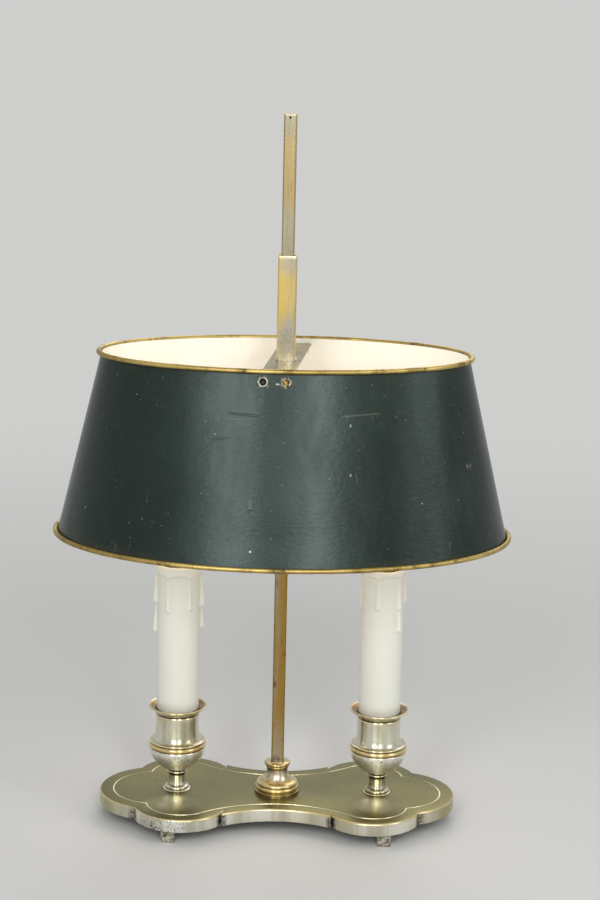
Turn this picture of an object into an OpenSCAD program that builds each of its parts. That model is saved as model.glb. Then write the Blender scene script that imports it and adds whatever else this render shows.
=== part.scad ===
// Bouillotte lamp for two candle bulbs. A lobed metal base on four feet carries two turned cups
// with candle sleeves, and a square rod on which an oval metal shade slides up and down.
// Millimetres, +Z up. The origin is on the table, under the middle of the rod.

/* [Base plate] */
// Length of the base plate from end to end
base_length = 230; // [216:1:244]
// Depth of the base plate across its lobes
base_depth = 113; // [108:1:122]
// Height of the base plate, from the edge of its side wall to its top
base_height = 8.6; // [8.4:0.1:12]
// Thickness of the top of the base plate
base_top_wall = 2.6; // [2:0.1:2.8]
// Thickness of the side wall of the base plate
base_side_wall = 2.6; // [2:0.1:3.2]
// Radius of the two rounded ends
end_radius = 37.7; // [35:0.1:42]
// Radius of the four lobes
lobe_radius = 31; // [29:0.1:33]
// Distance between the centres of the lobes along the base
lobe_spacing = 122; // [118:1:128]
// Length of the waist between its four corners
waist_length = 69; // [66:1:71]
// Depth across the middle of the waist
waist_depth = 69.2; // [66:0.2:74]
// Radius of the hollow curve on each side of the waist
waist_radius = 66; // [60:1:80]
// Distance of the engraved line from the edge of the plate
line_inset = 8.6; // [7:0.1:10]
// Width of the engraved line
line_width = 0.8; // [0.5:0.1:1.2]
// Depth of the engraved line
line_depth = 0.4; // [0.2:0.1:0.6]

/* [Feet and cover] */
// Height of each foot below the side wall
foot_height = 8.4; // [7:0.1:12]
// Width of each foot where it meets the base
foot_width = 9.5; // [8.5:0.1:11]
// How much narrower each foot is at the table
foot_taper = 1.2; // [0:0.1:2]
// Distance between the feet along the base
foot_spacing_x = 136; // [130:1:140]
// Distance between the feet across the base
foot_spacing_y = 96; // [92:1:98]
// Radius of the thread of each foot screw
foot_screw_radius = 1.5; // [1:0.1:2]
// Thickness of the sheet cover under the base
cover_thickness = 0.8; // [0.6:0.1:1.2]
// Gap between the cover and the side wall
cover_gap = 0.3; // [0.2:0.1:0.6]
// Distance of the two cover screws from the middle
cover_screw_offset = 36; // [33:1:42]
// Radius of the thread of each cover screw
cover_screw_radius = 1.2; // [1:0.1:1.5]

/* [Cord inlet] */
// Radius of the hole that the mains cord goes through
inlet_radius = 2.3; // [1.8:0.1:2.4]
// Wall of the grommet in the inlet
grommet_wall = 0.8; // [0.6:0.1:1]
// Depth of each flange of the grommet
grommet_flange = 1; // [0.8:0.1:1.5]

/* [Stem] */
// Height of the top of the rod above the table
lamp_height = 453; // [430:1:480]
// Width of the square rod
rod_width = 8.2; // [7.5:0.1:8.4]
// Radius of the threaded end of the rod
rod_thread_radius = 3; // [2.5:0.1:3.3]
// Depth of the rod's square seat in the collar
rod_seat_depth = 9; // [6:0.5:12]
// Radius of the foot of the collar
collar_radius = 14.4; // [13.5:0.1:17]
// Height of the collar
collar_height = 19.7; // [19:0.1:24]
// Radius of the collar's neck
collar_neck_radius = 6.7; // [6.6:0.1:8]
// Radius of the ring at the top of the collar
collar_ring_radius = 8.4; // [8:0.1:10]

/* [Cups] */
// Distance between the two lights
light_spacing = 130; // [122:1:138]
// Height of each cup
cup_height = 53.8; // [52:0.2:60]
// Radius of each cup at its double ring
cup_radius = 18.5; // [17:0.1:20]
// Radius of each cup's neck
cup_neck_radius = 13.9; // [13.6:0.1:14.6]
// Wall of each cup's neck
cup_wall = 2.2; // [1.6:0.1:3]
// Radius of the pedestal under each cup
pedestal_radius = 5.2; // [4.8:0.1:6]
// Radius of each pedestal's foot
pedestal_foot_radius = 9; // [8:0.1:9.2]
// Radius of each drip pan
pan_radius = 19; // [18.6:0.1:22]
// Height of each drip pan
pan_height = 3.4; // [3.2:0.1:5]
// Thickness of each drip pan's floor
pan_floor = 1.1; // [0.8:0.1:1.5]
// Radius of each tie tube
tube_radius = 4; // [3.8:0.1:4.1]
// Radius of the bore of each tie tube
tube_bore = 2.8; // [2.5:0.1:3]

/* [Candles and bulbs] */
// Radius of each candle sleeve
candle_radius = 13.5; // [13.3:0.1:13.8]
// Wall of each candle sleeve
candle_wall = 1.5; // [1.2:0.1:1.6]
// Length of each candle sleeve
candle_length = 96.5; // [85:0.5:110]
// How far each wax run stands out of the sleeve
run_height = 1.5; // [1:0.1:2.5]
// Radius of each lampholder
holder_radius = 11.4; // [11:0.1:11.5]
// Length of each lampholder
holder_length = 28; // [26:1:34]
// Radius of each bulb's screw cap
cap_radius = 6.8; // [6.5:0.1:7]
// Length of each bulb above its cap
bulb_length = 80; // [65:1:90]
// Largest radius of each bulb
bulb_radius = 17.5; // [15:0.5:20]

/* [Shade] */
// Height of the lower rim above the table
shade_height_above_table = 190.5; // [186:0.5:220]
// Height of the shade between its rims
shade_height = 114; // [100:1:125]
// Length of the oval at the top
shade_top_length = 229.4; // [220:1:245]
// Depth of the oval at the top
shade_top_depth = 118; // [108:1:130]
// Length of the oval at the bottom
shade_bottom_length = 283.6; // [265:1:300]
// Depth of the oval at the bottom
shade_bottom_depth = 183.4; // [170:1:195]
// Thickness of the sheet
sheet = 0.6; // [0.5:0.1:1]
// Radius of the wire of each rim
rim_radius = 1.7; // [1.3:0.1:2.2]

/* [Sliding sleeve and crossbar] */
// Width of the square sleeve
sleeve_width = 11.8; // [11.4:0.1:12.6]
// Wall of the sleeve
sleeve_wall = 0.8; // [0.6:0.1:0.8]
// Length of the sleeve above the crossbar
sleeve_length = 65.2; // [55:0.2:75]
// Width of the crossbar
crossbar_width = 20; // [16:1:24]
// Slant of the crossbar across the shade, clockwise from above, in degrees
crossbar_slant = 6; // [0:1:12]
// Thickness of the crossbar
crossbar_thickness = 1.5; // [1.2:0.1:2]
// Distance of the crossbar's top face below the middle of the upper rim
crossbar_drop = 3; // [2:0.5:6]
// Length of the turned-down tab at each end of the crossbar
tab_length = 11; // [10:0.5:16]
// Distance between the two rivets of a tab
rivet_spacing = 14; // [12:0.5:14]
// Radius of a rivet's shank
rivet_radius = 1.5; // [1.2:0.1:1.8]
// Radius of a rivet's head
rivet_head_radius = 3; // [2.5:0.1:3.2]

/* [Hidden] */
$fn = 64;
// Smallest gap between pieces that touch or slide
fit = 0.05;
// Overlap that keeps cuts clean
cut = 1;
// Number of steps around the oval of the shade
oval_steps = 96;
// Number of steps around a rim's wire
wire_steps = 10;
// How deep a rim's wire is soldered into the sheet
rim_bond = 0.1;

// Heights of the base
wall_edge = foot_height;
base_top = foot_height + base_height;
base_under = base_top - base_top_wall;
cover_top = wall_edge + cover_thickness;
grommet_radius = inlet_radius + grommet_wall;
inlet_height = cover_top + grommet_radius + 0.1;

// Places of the rounded outline
end_centre = base_length / 2 - end_radius;
lobe_centre = base_depth / 2 - lobe_radius;
link_depth = lobe_centre + 6;
link_start = waist_length / 2 - 3;
line_waist = waist_length / 2 + 6;

// Bosses under the plate that take the screws
boss_wall = 4;
foot_boss_radius = foot_screw_radius + boss_wall;
cover_boss_radius = cover_screw_radius + 2.3;
screw_clearance = 0.2;
thread_depth = base_under - wall_edge - 1;
foot_head_radius = 2 * foot_screw_radius - 0.2;
foot_head_depth = 1.8;
cover_head_radius = 2 * cover_screw_radius;
cover_head_height = 1;

// Nuts and washers
washer_thickness = 0.8;
thin_nut_height = 2.6;
nut_across = 1.6;

// Heights of the lights
cup_top = base_top + cup_height;
seat = cup_top + pan_floor;
candle_top = seat + candle_length;
tube_bottom = base_under - washer_thickness - thin_nut_height;
bracket_thickness = 0.8;
upper_nut_height = 3;
tube_top = seat + bracket_thickness + upper_nut_height + 0.6;
candle_bore = candle_radius - candle_wall;

// Lampholder and bulb
holder_top = candle_top - 2;
holder_bottom = holder_top - holder_length;
holder_floor = holder_bottom + 10;
shell_wall = 0.35;
shell_gap = 0.1;
shell_inner = cap_radius + shell_gap;
shell_outer = shell_inner + shell_wall;
bracket_reach = holder_radius - bracket_thickness;
bracket_width = 5;
slot_height = 12;
contact_height = 1.2;
contact_radius = 2.2;
cap_tip = holder_floor + contact_height;
cap_skirt = cap_tip + 2.2;
cap_top = holder_top + 1;
glass_wall = 0.8;
filament_stem = bulb_length * 0.28;
filament_post = bulb_length * 0.12;

// Leads and splices
lead_radius = 0.8;
bend_radius = 0.86;
lead_gap = 1;
lead_level = cover_top + bend_radius + fit;
splice_radius = 1.7;
splice_length = 16;
splice_level = cover_top + splice_radius + fit;
splice_y = 19;
splice_gap = 2.4;

// Heights of the shade
shade_bottom = shade_height_above_table;
shade_top = shade_bottom + shade_height;
crossbar_top = shade_top - crossbar_drop;
crossbar_bottom = crossbar_top - crossbar_thickness;
front_slope = (shade_bottom_depth - shade_top_depth) / 2 / shade_height;
slope_angle = atan(front_slope);
sleeve_bore = sleeve_width - 2 * sleeve_wall;
tab_gap = 0.35;
rivet_drop = 3.3;
rivet_tail_radius = rivet_head_radius - 0.8;

// The slanting crossbar meets the oval away from its middle, so its tabs turn to lie flat on it
oval_squeeze = pow(half_depth(crossbar_top) / half_length(crossbar_top), 2);
tab_turn = atan(tan(crossbar_slant) * oval_squeeze);
tab_shift = half_depth(crossbar_top) * tan(crossbar_slant) * (1 - oval_squeeze);

// Friction spring
spring_thickness = 0.35;
spring_width = 6;
spring_length = sleeve_length * 0.75;
spring_lift = (sleeve_bore - rod_width) / 2 - spring_thickness - fit;

// Wax runs of each sleeve: direction in degrees, length and radius
left_runs = [[171, 24, 2.2], [190, 44, 1.9], [-7, 27, 2.2], [12, 41, 1.8], [-60, 30, 2.4],
    [-110, 31, 2.6], [-85, 15, 2.3], [60, 33, 2.4], [100, 22, 2.6], [138, 37, 2.2]];
right_runs = [[181, 27, 2.2], [-3, 22, 2.3], [-25, 40, 1.9], [-47, 27, 2.4], [-98, 28, 2.1],
    [-73, 14, 2.4], [-130, 19, 2.6], [48, 35, 2.2], [92, 25, 2.6], [140, 31, 2.4]];

// Points along an arc around [x, y], from one angle to the other
function arc(x, y, radius, from, to, steps = 6) =
    [for (i = [0:steps]) let (a = from + (to - from) * i / steps)
        [x + radius * cos(a), y + radius * sin(a)]];

// Points along a quarter of an ellipse that starts level at [x, y] and ends upright
function bowl(x, y, width, height, steps = 7) =
    [for (i = [0:steps]) let (a = 90 * i / steps)
        [x + width * sin(a), y + height * (1 - cos(a))]];

// Points along a hollow quarter that starts level at [x, y] and ends upright, further in
function hollow(x, y, width, height, steps = 6) =
    [for (i = [0:steps]) let (a = 90 * i / steps)
        [x - width * sin(a), y + height * (1 - cos(a))]];

module at_light(side) {
    translate([side * light_spacing / 2, 0, 0]) children();
}

module at_feet() {
    for (x = [-1, 1], y = [-1, 1])
        translate([x * foot_spacing_x / 2, y * foot_spacing_y / 2, 0]) children();
}

module at_cover_screws() {
    for (x = [-1, 1]) translate([x * cover_screw_offset, 0, 0]) children();
}

module ring(outer, inner, height) {
    difference() {
        cylinder(r = outer, h = height);
        translate([0, 0, -cut]) cylinder(r = inner, h = height + 2 * cut);
    }
}

module hex_nut(radius, height) {
    difference() {
        cylinder(r = radius * nut_across, h = height, $fn = 6);
        translate([0, 0, -cut]) cylinder(r = radius + fit, h = height + 2 * cut);
    }
}

// ---- Base plate ----

module waist_outline(inset, half_length) {
    hollow_centre = waist_depth / 2 + waist_radius;
    difference() {
        square([2 * half_length, 2 * hollow_centre], center = true);
        for (y = [-1, 1]) translate([0, y * hollow_centre])
            circle(r = waist_radius + inset, $fn = 160);
    }
}

module base_outline(inset, waist_half) {
    waist_outline(inset, waist_half);
    for (x = [-1, 1]) {
        translate([x * end_centre, 0]) circle(r = end_radius - inset, $fn = 120);
        translate([x * (link_start + lobe_spacing / 2) / 2, 0])
            square([lobe_spacing / 2 - link_start, 2 * link_depth], center = true);
        for (y = [-1, 1])
            translate([x * lobe_spacing / 2, y * lobe_centre])
                circle(r = lobe_radius - inset, $fn = 120);
    }
}

module engraved_line() {
    difference() {
        base_outline(line_inset, line_waist);
        base_outline(line_inset + line_width, line_waist);
    }
}

module base_hollow() {
    difference() {
        translate([0, 0, wall_edge - cut])
            linear_extrude(base_height - base_top_wall + cut)
                base_outline(base_side_wall, waist_length / 2 - base_side_wall);
        at_feet() cylinder(r = foot_boss_radius, h = base_top);
        at_cover_screws() translate([0, 0, cover_top]) cylinder(r = cover_boss_radius, h = base_top);
    }
}

// Axis of the inlet, +Z inwards, from the outside of the waist at the back
module inlet_axis() {
    translate([0, waist_depth / 2, inlet_height]) rotate([90, 0, 0]) children();
}

module base_plate() {
    color([0.66, 0.64, 0.52]) difference() {
        translate([0, 0, wall_edge]) linear_extrude(base_height) base_outline(0, waist_length / 2);
        base_hollow();
        translate([0, 0, base_top - line_depth]) linear_extrude(line_depth + cut) engraved_line();
        cylinder(r = rod_thread_radius + fit, h = base_top + cut);
        for (side = [-1, 1]) at_light(side) cylinder(r = tube_radius + fit, h = base_top + cut);
        at_feet() cylinder(r = foot_screw_radius, h = wall_edge + thread_depth);
        at_cover_screws() cylinder(r = cover_screw_radius, h = wall_edge + thread_depth);
        inlet_axis() translate([0, 0, -base_side_wall])
            cylinder(r = grommet_radius + fit, h = 3 * base_side_wall);
    }
}

// ---- Feet, cover and their screws ----

module foot_slab(width) {
    linear_extrude(0.01) offset(r = 1.2, $fn = 24) square(width - 2.4, center = true);
}

module foot() {
    difference() {
        hull() {
            foot_slab(foot_width - foot_taper);
            translate([0, 0, foot_height - 0.01]) foot_slab(foot_width);
        }
        translate([0, 0, -cut]) cylinder(r = foot_screw_radius + screw_clearance, h = 20);
        translate([0, 0, -cut])
            cylinder(r = foot_head_radius + screw_clearance, h = foot_head_depth + cut);
    }
}

module placed_foot(x, y) {
    color([0.45, 0.44, 0.41])
        translate([x * foot_spacing_x / 2, y * foot_spacing_y / 2, 0]) foot();
}

module foot_screws() {
    color([0.6, 0.6, 0.62]) at_feet() {
        translate([0, 0, 0.4]) cylinder(r = foot_head_radius, h = foot_head_depth - 0.4);
        translate([0, 0, 0.4])
            cylinder(r = foot_screw_radius, h = wall_edge + thread_depth - 0.4 - cut);
    }
}

module underside_cover() {
    inset = base_side_wall + cover_gap;
    color([0.25, 0.3, 0.25]) translate([0, 0, wall_edge]) difference() {
        linear_extrude(cover_thickness) base_outline(inset, waist_length / 2 - inset);
        at_feet() translate([0, 0, -cut])
            cylinder(r = foot_boss_radius + cover_gap, h = cover_thickness + 2 * cut);
        at_cover_screws() translate([0, 0, -cut])
            cylinder(r = cover_screw_radius + screw_clearance, h = cover_thickness + 2 * cut);
    }
}

module cover_screws() {
    color([0.6, 0.6, 0.62]) at_cover_screws() {
        translate([0, 0, wall_edge - cover_head_height])
            cylinder(r = cover_head_radius, h = cover_head_height);
        translate([0, 0, wall_edge - cover_head_height])
            cylinder(r = cover_screw_radius, h = cover_head_height + thread_depth - cut);
    }
}

module cord_grommet() {
    flange_radius = grommet_radius + 0.5;
    flange_gap = pow(flange_radius, 2) / 2 / waist_radius + fit;
    length = base_side_wall + flange_gap + 2 * grommet_flange;
    color([0.1, 0.1, 0.1]) inlet_axis() translate([0, 0, -flange_gap - grommet_flange])
        difference() {
            union() {
                cylinder(r = grommet_radius, h = length);
                cylinder(r = flange_radius, h = grommet_flange);
            }
            translate([0, 0, -cut]) cylinder(r = inlet_radius, h = length + 2 * cut);
        }
}

// ---- Stem ----

module stem_collar() {
    ring_low = collar_height - 3.4;
    profile = concat(
        [[rod_thread_radius + fit, 0], [collar_radius - 0.3, 0], [collar_radius - 0.3, 0.9]],
        arc(collar_radius - 1.8, 3.1, 1.8, -75, 75),
        [[collar_radius - 1.3, 5.2], [collar_radius - 1.2, 6.2], [collar_radius - 2, 6.7]],
        hollow(collar_radius - 2.2, 6.9, collar_radius - 2.2 - collar_neck_radius,
            ring_low - 9),
        [[collar_neck_radius, ring_low - 1], [collar_ring_radius - 0.9, ring_low]],
        arc(collar_ring_radius - 1.3, ring_low + 0.7, 0.5, -50, 70, 4),
        arc(collar_ring_radius - 1, ring_low + 2.4, 1, -80, 80),
        [[rod_thread_radius + fit, collar_height]]);
    color([0.74, 0.66, 0.4]) translate([0, 0, base_top]) difference() {
        rotate_extrude() polygon(profile);
        translate([0, 0, collar_height - rod_seat_depth / 2 + cut])
            cube([rod_width + 2 * fit, rod_width + 2 * fit, rod_seat_depth + 2 * cut],
                center = true);
    }
}

module stem_rod() {
    rod_bottom = base_top + collar_height - rod_seat_depth;
    thread_end = base_under - washer_thickness - thin_nut_height - 0.5;
    color([0.72, 0.68, 0.52]) {
        translate([-rod_width / 2, -rod_width / 2, rod_bottom])
            cube([rod_width, rod_width, lamp_height - rod_bottom]);
        translate([0, 0, thread_end]) cylinder(r = rod_thread_radius, h = rod_bottom - thread_end);
    }
}

module stem_washer() {
    color([0.6, 0.6, 0.62]) translate([0, 0, base_under - washer_thickness])
        ring(rod_thread_radius + 4, rod_thread_radius + fit, washer_thickness);
}

module stem_nut() {
    color([0.7, 0.62, 0.38]) translate([0, 0, base_under - washer_thickness - thin_nut_height])
        hex_nut(rod_thread_radius, thin_nut_height);
}

// ---- Cups and tie tubes ----

module cup() {
    bore = tube_radius + fit;
    knob = pedestal_radius + 1.75;
    foot = pedestal_foot_radius;
    bowl_bottom = 14;
    ring_low = cup_height - 24.8;
    ring_high = ring_low + 4.8;
    bowl_radius = cup_radius - 0.4;
    flare_foot = cup_radius - 1.1;
    cavity = cup_neck_radius - cup_wall;
    cavity_floor = bowl_bottom + 8;
    profile = concat(
        [[bore, 0], [foot - 0.4, 0]],
        arc(foot - 1, 1.2, 1, -70, 70, 5),
        [[foot - 1, 2.4]],
        arc(foot - 1.3, 3.2, 0.6, -60, 60, 4),
        hollow(foot - 1.7, 4.1, foot - 1.7 - pedestal_radius, 6.4),
        [[pedestal_radius + 0.5, 11.6]],
        arc(knob - 0.75, 12.7, 0.75, -80, 80, 5),
        bowl(knob + 0.1, bowl_bottom, bowl_radius - knob - 0.1, ring_low - bowl_bottom - 0.8, 9),
        [[bowl_radius, ring_low - 0.3], [bowl_radius - 0.6, ring_low]],
        arc(cup_radius - 1.5, ring_low + 1.65, 1.5, -60, 60),
        [[cup_radius - 1.1, ring_low + 3.5], [cup_radius - 0.6, ring_low + 3.9],
            [cup_radius - 0.6, ring_high - 0.2]],
        hollow(flare_foot, ring_high, flare_foot - cup_neck_radius - 0.3, 5, 7),
        [[cup_neck_radius - 0.1, cup_height - 8], [cup_neck_radius, cup_height - 2.9],
            [cup_neck_radius - 0.3, cup_height - 2.3], [cup_neck_radius, cup_height - 1.5],
            [cup_neck_radius + 1.4, cup_height]],
        [[cavity, cup_height], [cavity, cavity_floor], [bore, cavity_floor]]);
    translate([0, 0, base_top]) rotate_extrude() polygon(profile);
}

module drip_pan() {
    bore = tube_radius + fit;
    seat_radius = candle_radius + 0.3;
    bead = seat_radius + 1.5;
    profile = concat(
        [[bore, 0], [bead, 0]],
        arc(bead, 0.95, 0.85, -70, 70, 5),
        [[bead + 0.4, 2], [pan_radius - 1.4, pan_height - 1.3]],
        arc(pan_radius - 0.5, pan_height - 0.6, 0.5, -60, 100, 6),
        [[pan_radius - 2, pan_height - 0.4], [seat_radius + 2, pan_height - 0.2],
            [seat_radius + 1.4, pan_height - 0.5], [seat_radius, pan_floor + 0.2],
            [seat_radius, pan_floor], [bore, pan_floor]]);
    translate([0, 0, cup_top]) rotate_extrude() polygon(profile);
}

module tie_tube() {
    translate([0, 0, tube_bottom]) ring(tube_radius, tube_bore, tube_top - tube_bottom);
}

module tie_tube_washers() {
    color([0.6, 0.6, 0.62]) for (side = [-1, 1]) at_light(side)
        translate([0, 0, base_under - washer_thickness])
            ring(tube_radius + 4, tube_radius + fit, washer_thickness);
}

module tie_tube_nuts() {
    color([0.7, 0.62, 0.38]) for (side = [-1, 1]) at_light(side)
        translate([0, 0, tube_bottom]) hex_nut(tube_radius, thin_nut_height);
}

module holder_nuts() {
    color([0.7, 0.62, 0.38]) for (side = [-1, 1]) at_light(side)
        translate([0, 0, seat + bracket_thickness]) hex_nut(tube_radius, upper_nut_height);
}

// ---- Lampholders and bulbs ----

module holder_bracket() {
    difference() {
        union() {
            translate([0, 0, seat]) cylinder(r = 8.5, h = bracket_thickness);
            translate([-bracket_reach, -bracket_width / 2, seat])
                cube([2 * bracket_reach, bracket_width, bracket_thickness]);
            for (side = [-1, 1])
                translate([side * (bracket_reach + bracket_thickness / 2), 0, seat])
                    translate([-bracket_thickness / 2, -bracket_width / 2, 0])
                        cube([bracket_thickness, bracket_width,
                            holder_bottom + slot_height - seat]);
        }
        translate([0, 0, seat - cut]) cylinder(r = tube_radius + fit, h = 2 * cut + 1);
    }
}

module lampholder() {
    difference() {
        translate([0, 0, holder_bottom]) cylinder(r = holder_radius, h = holder_length);
        translate([0, 0, holder_floor]) cylinder(r = shell_outer + fit, h = holder_length);
        for (side = [-1, 1])
            translate([side * (bracket_reach + 2), 0, holder_bottom + slot_height / 2 - cut / 2])
                cube([4, bracket_width + 2 * fit, slot_height + cut], center = true);
    }
}

module socket_shell() {
    translate([0, 0, holder_floor]) ring(shell_outer, shell_inner, holder_top - holder_floor - 1);
}

module contact() {
    translate([0, 0, holder_floor]) cylinder(r = contact_radius, h = contact_height);
}

module bulb_cap() {
    profile = [[0, cap_tip], [contact_radius, cap_tip], [contact_radius, cap_tip + 0.6],
        [cap_radius - 0.8, cap_skirt - 0.4], [cap_radius, cap_skirt], [cap_radius, cap_top],
        [cap_radius - 0.6, cap_top], [cap_radius - 0.6, cap_skirt + 1], [0, cap_skirt + 1]];
    rotate_extrude() polygon(profile);
}

// Radius of the bulb at a share of its length, from the cap to the tip
function bulb_curve(share) =
    let (belly = 0.34, neck = cap_radius + 0.6)
    share < belly
        ? neck + (bulb_radius - neck) * (1 - cos(180 * share / belly)) / 2
        : bulb_radius * pow(max(0, 1 - pow((share - belly) / (1 - belly), 1.8)), 0.75);

// Profile of the bulb, moved inwards by a distance
function bulb_side(inset) =
    [for (i = [0:28]) let (radius = bulb_curve(i / 28) - inset) if (radius > 0.3)
        [radius, inset + (bulb_length - 2 * inset) * i / 28]];

module bulb_outline(inset) {
    polygon(concat([[0, inset]], bulb_side(inset), [[0, bulb_length - inset]]));
}

module bulb_glass() {
    translate([0, 0, cap_top]) rotate_extrude() difference() {
        bulb_outline(0);
        bulb_outline(glass_wall);
    }
}

module filament() {
    translate([0, 0, cap_top + glass_wall]) {
        cylinder(r1 = 3, r2 = 1.6, h = filament_stem);
        translate([0, 0, filament_stem]) cylinder(r = 0.6, h = filament_post);
        translate([-5, 0, filament_stem + filament_post]) rotate([0, 90, 0])
            cylinder(r = 0.7, h = 10);
    }
}

// ---- Candle sleeves ----

module wax_run(direction, length, radius) {
    sink = radius - run_height;
    rotate([0, 0, direction]) translate([candle_radius - sink - 0.2, 0, 0]) {
        translate([0, 0, candle_top - length]) {
            sphere(r = radius, $fn = 24);
            cylinder(r1 = radius, r2 = radius * 0.75, h = length * 0.45, $fn = 24);
        }
        translate([0, 0, candle_top - length * 0.6])
            cylinder(r = radius * 0.75, h = length * 0.6 - 1, $fn = 24);
    }
}

module candle_sleeve(runs) {
    difference() {
        union() {
            translate([0, 0, seat]) cylinder(r = candle_radius, h = candle_length);
            for (run = runs) wax_run(run[0], run[1], run[2]);
        }
        translate([0, 0, seat - cut]) cylinder(r = candle_bore, h = candle_length + 2 * cut);
    }
}

// ---- Leads and splices ----

module wire(points) {
    for (i = [0:len(points) - 2]) {
        step = points[i + 1] - points[i];
        translate(points[i]) {
            if (i > 0) sphere(r = bend_radius, $fn = 24);
            rotate([0, acos(step[2] / norm(step)), atan2(step[1], step[0])])
                cylinder(r = lead_radius, h = norm(step), $fn = 24);
        }
    }
}

module lead(side) {
    x = side * light_spacing / 2;
    inner = side * (splice_length / 2 + 8);
    for (core = [-1, 1]) {
        y_end = splice_y + core * splice_gap;
        wire([[x, core * lead_gap, holder_bottom],
            [x, core * lead_gap, lead_level],
            [inner, y_end, lead_level],
            [inner - side * 3, y_end, splice_level],
            [side * splice_length / 2, y_end, splice_level]]);
    }
}

module wire_splices() {
    color([0.8, 0.2, 0.15]) for (core = [-1, 1])
        translate([-splice_length / 2, splice_y + core * splice_gap, splice_level])
            rotate([0, 90, 0]) cylinder(r = splice_radius, h = splice_length);
}

// ---- Shade ----

// Half the length and half the depth of the sheet's outside at a height
function half_length(z) = (shade_bottom_length + (shade_top_length - shade_bottom_length)
    * (z - shade_bottom) / shade_height) / 2;
function half_depth(z) = (shade_bottom_depth + (shade_top_depth - shade_bottom_depth)
    * (z - shade_bottom) / shade_height) / 2;

// Point on the oval of half axes a and b at an angle, moved outwards by a distance
function oval_point(a, b, angle, out) =
    let (across = [b * cos(angle), a * sin(angle)])
    [a * cos(angle), b * sin(angle)] + across / norm(across) * out;

// Closed ring through a list of like cross-sections
module swept_ring(sections) {
    n = len(sections);
    m = len(sections[0]);
    polyhedron(
        points = [for (section = sections) each section],
        faces = [for (i = [0:n - 1], j = [0:m - 1])
            let (next = (i + 1) % n, up = (j + 1) % m)
            [i * m + j, next * m + j, next * m + up, i * m + up]],
        convexity = 8);
}

function on_oval(z, angle, out) =
    let (p = oval_point(half_length(z), half_depth(z), angle, out)) [p[0], p[1], z];

module shade_shell() {
    sections = [for (i = [0:oval_steps - 1]) let (angle = 360 * i / oval_steps)
        [on_oval(shade_bottom, angle, 0), on_oval(shade_bottom, angle, -sheet),
            on_oval(shade_top, angle, -sheet), on_oval(shade_top, angle, 0)]];
    color([0.1, 0.16, 0.13]) difference() {
        swept_ring(sections);
        at_rivets() cylinder(r = rivet_radius, h = 12, center = true);
    }
}

module rim(z) {
    sections = [for (i = [0:oval_steps - 1]) let (angle = 360 * i / oval_steps)
        [for (j = [0:wire_steps - 1]) let (turn = 360 * j / wire_steps,
            out = rim_radius - rim_bond + rim_radius * cos(turn),
            p = oval_point(half_length(z), half_depth(z), angle, out))
            [p[0], p[1], z - rim_radius * sin(turn)]]];
    color([0.72, 0.55, 0.24]) swept_ring(sections);
}

// ---- Crossbar, sleeve, spring and rivets ----

// Middle of the sheet's inside, front or back, at a height
function inner_depth(z) = half_depth(z) - sheet / cos(slope_angle) - tab_gap;

// Frame of a tab: its -Y looks out through the sheet, at the front or at the back
module at_tab(face) {
    rotate([0, 0, face]) translate([-tab_shift, 0, 0]) rotate([0, 0, -tab_turn]) children();
}

// Where a point of the front tab's frame lies on the shade
function on_tab(x, y) = [x * cos(tab_turn) + y * sin(tab_turn) - tab_shift,
    y * cos(tab_turn) - x * sin(tab_turn)];

module crossbar() {
    tab_end = crossbar_top - tab_length;
    thick_across = crossbar_thickness / cos(slope_angle);
    fold = inner_depth(crossbar_bottom) - thick_across;
    side = crossbar_width / 2;
    tab = [[-fold, crossbar_top], [-inner_depth(crossbar_top), crossbar_top],
        [-inner_depth(tab_end), tab_end], [thick_across - inner_depth(tab_end), tab_end],
        [-fold, crossbar_bottom]];
    front = [on_tab(-side, -fold - cut / 2), on_tab(side, -fold - cut / 2)];
    color([0.7, 0.68, 0.6]) difference() {
        union() {
            translate([0, 0, crossbar_bottom]) linear_extrude(crossbar_thickness)
                polygon([front[0], front[1], -front[0], -front[1]]);
            for (face = [0, 180]) at_tab(face) translate([-side, 0, 0])
                rotate([90, 0, 90]) linear_extrude(crossbar_width) polygon(tab);
        }
        translate([-sleeve_bore / 2, -sleeve_bore / 2, crossbar_bottom - cut])
            cube([sleeve_bore, sleeve_bore, crossbar_thickness + 2 * cut]);
        at_rivets() cylinder(r = rivet_radius, h = 12, center = true);
    }
}

module slider_sleeve() {
    color([0.74, 0.66, 0.4]) translate([0, 0, crossbar_top]) difference() {
        translate([-sleeve_width / 2, -sleeve_width / 2, 0])
            cube([sleeve_width, sleeve_width, sleeve_length]);
        translate([-sleeve_bore / 2, -sleeve_bore / 2, -cut])
            cube([sleeve_bore, sleeve_bore, sleeve_length + 2 * cut]);
    }
}

module friction_spring() {
    steps = 16;
    start = crossbar_top + (sleeve_length - spring_length) / 2;
    bow = [for (i = [0:steps]) let (share = i / steps)
        [sleeve_bore / 2 - spring_lift * sin(180 * share), start + spring_length * share]];
    back = [for (i = [steps:-1:0]) [bow[i][0] - spring_thickness, bow[i][1]]];
    color([0.55, 0.55, 0.58]) translate([-spring_width / 2, 0, 0])
        rotate([90, 0, 90]) linear_extrude(spring_width) polygon(concat(bow, back));
}

// Axis through the sheet and the tab at each rivet, +Z outwards
module at_rivet(side, face) {
    z = crossbar_top - rivet_drop;
    at_tab(face) translate([side * rivet_spacing / 2, -half_depth(z), z])
        rotate([90 - slope_angle, 0, 0]) children();
}

module at_rivets() {
    for (side = [-1, 1], face = [0, 180]) at_rivet(side, face) children();
}

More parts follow.
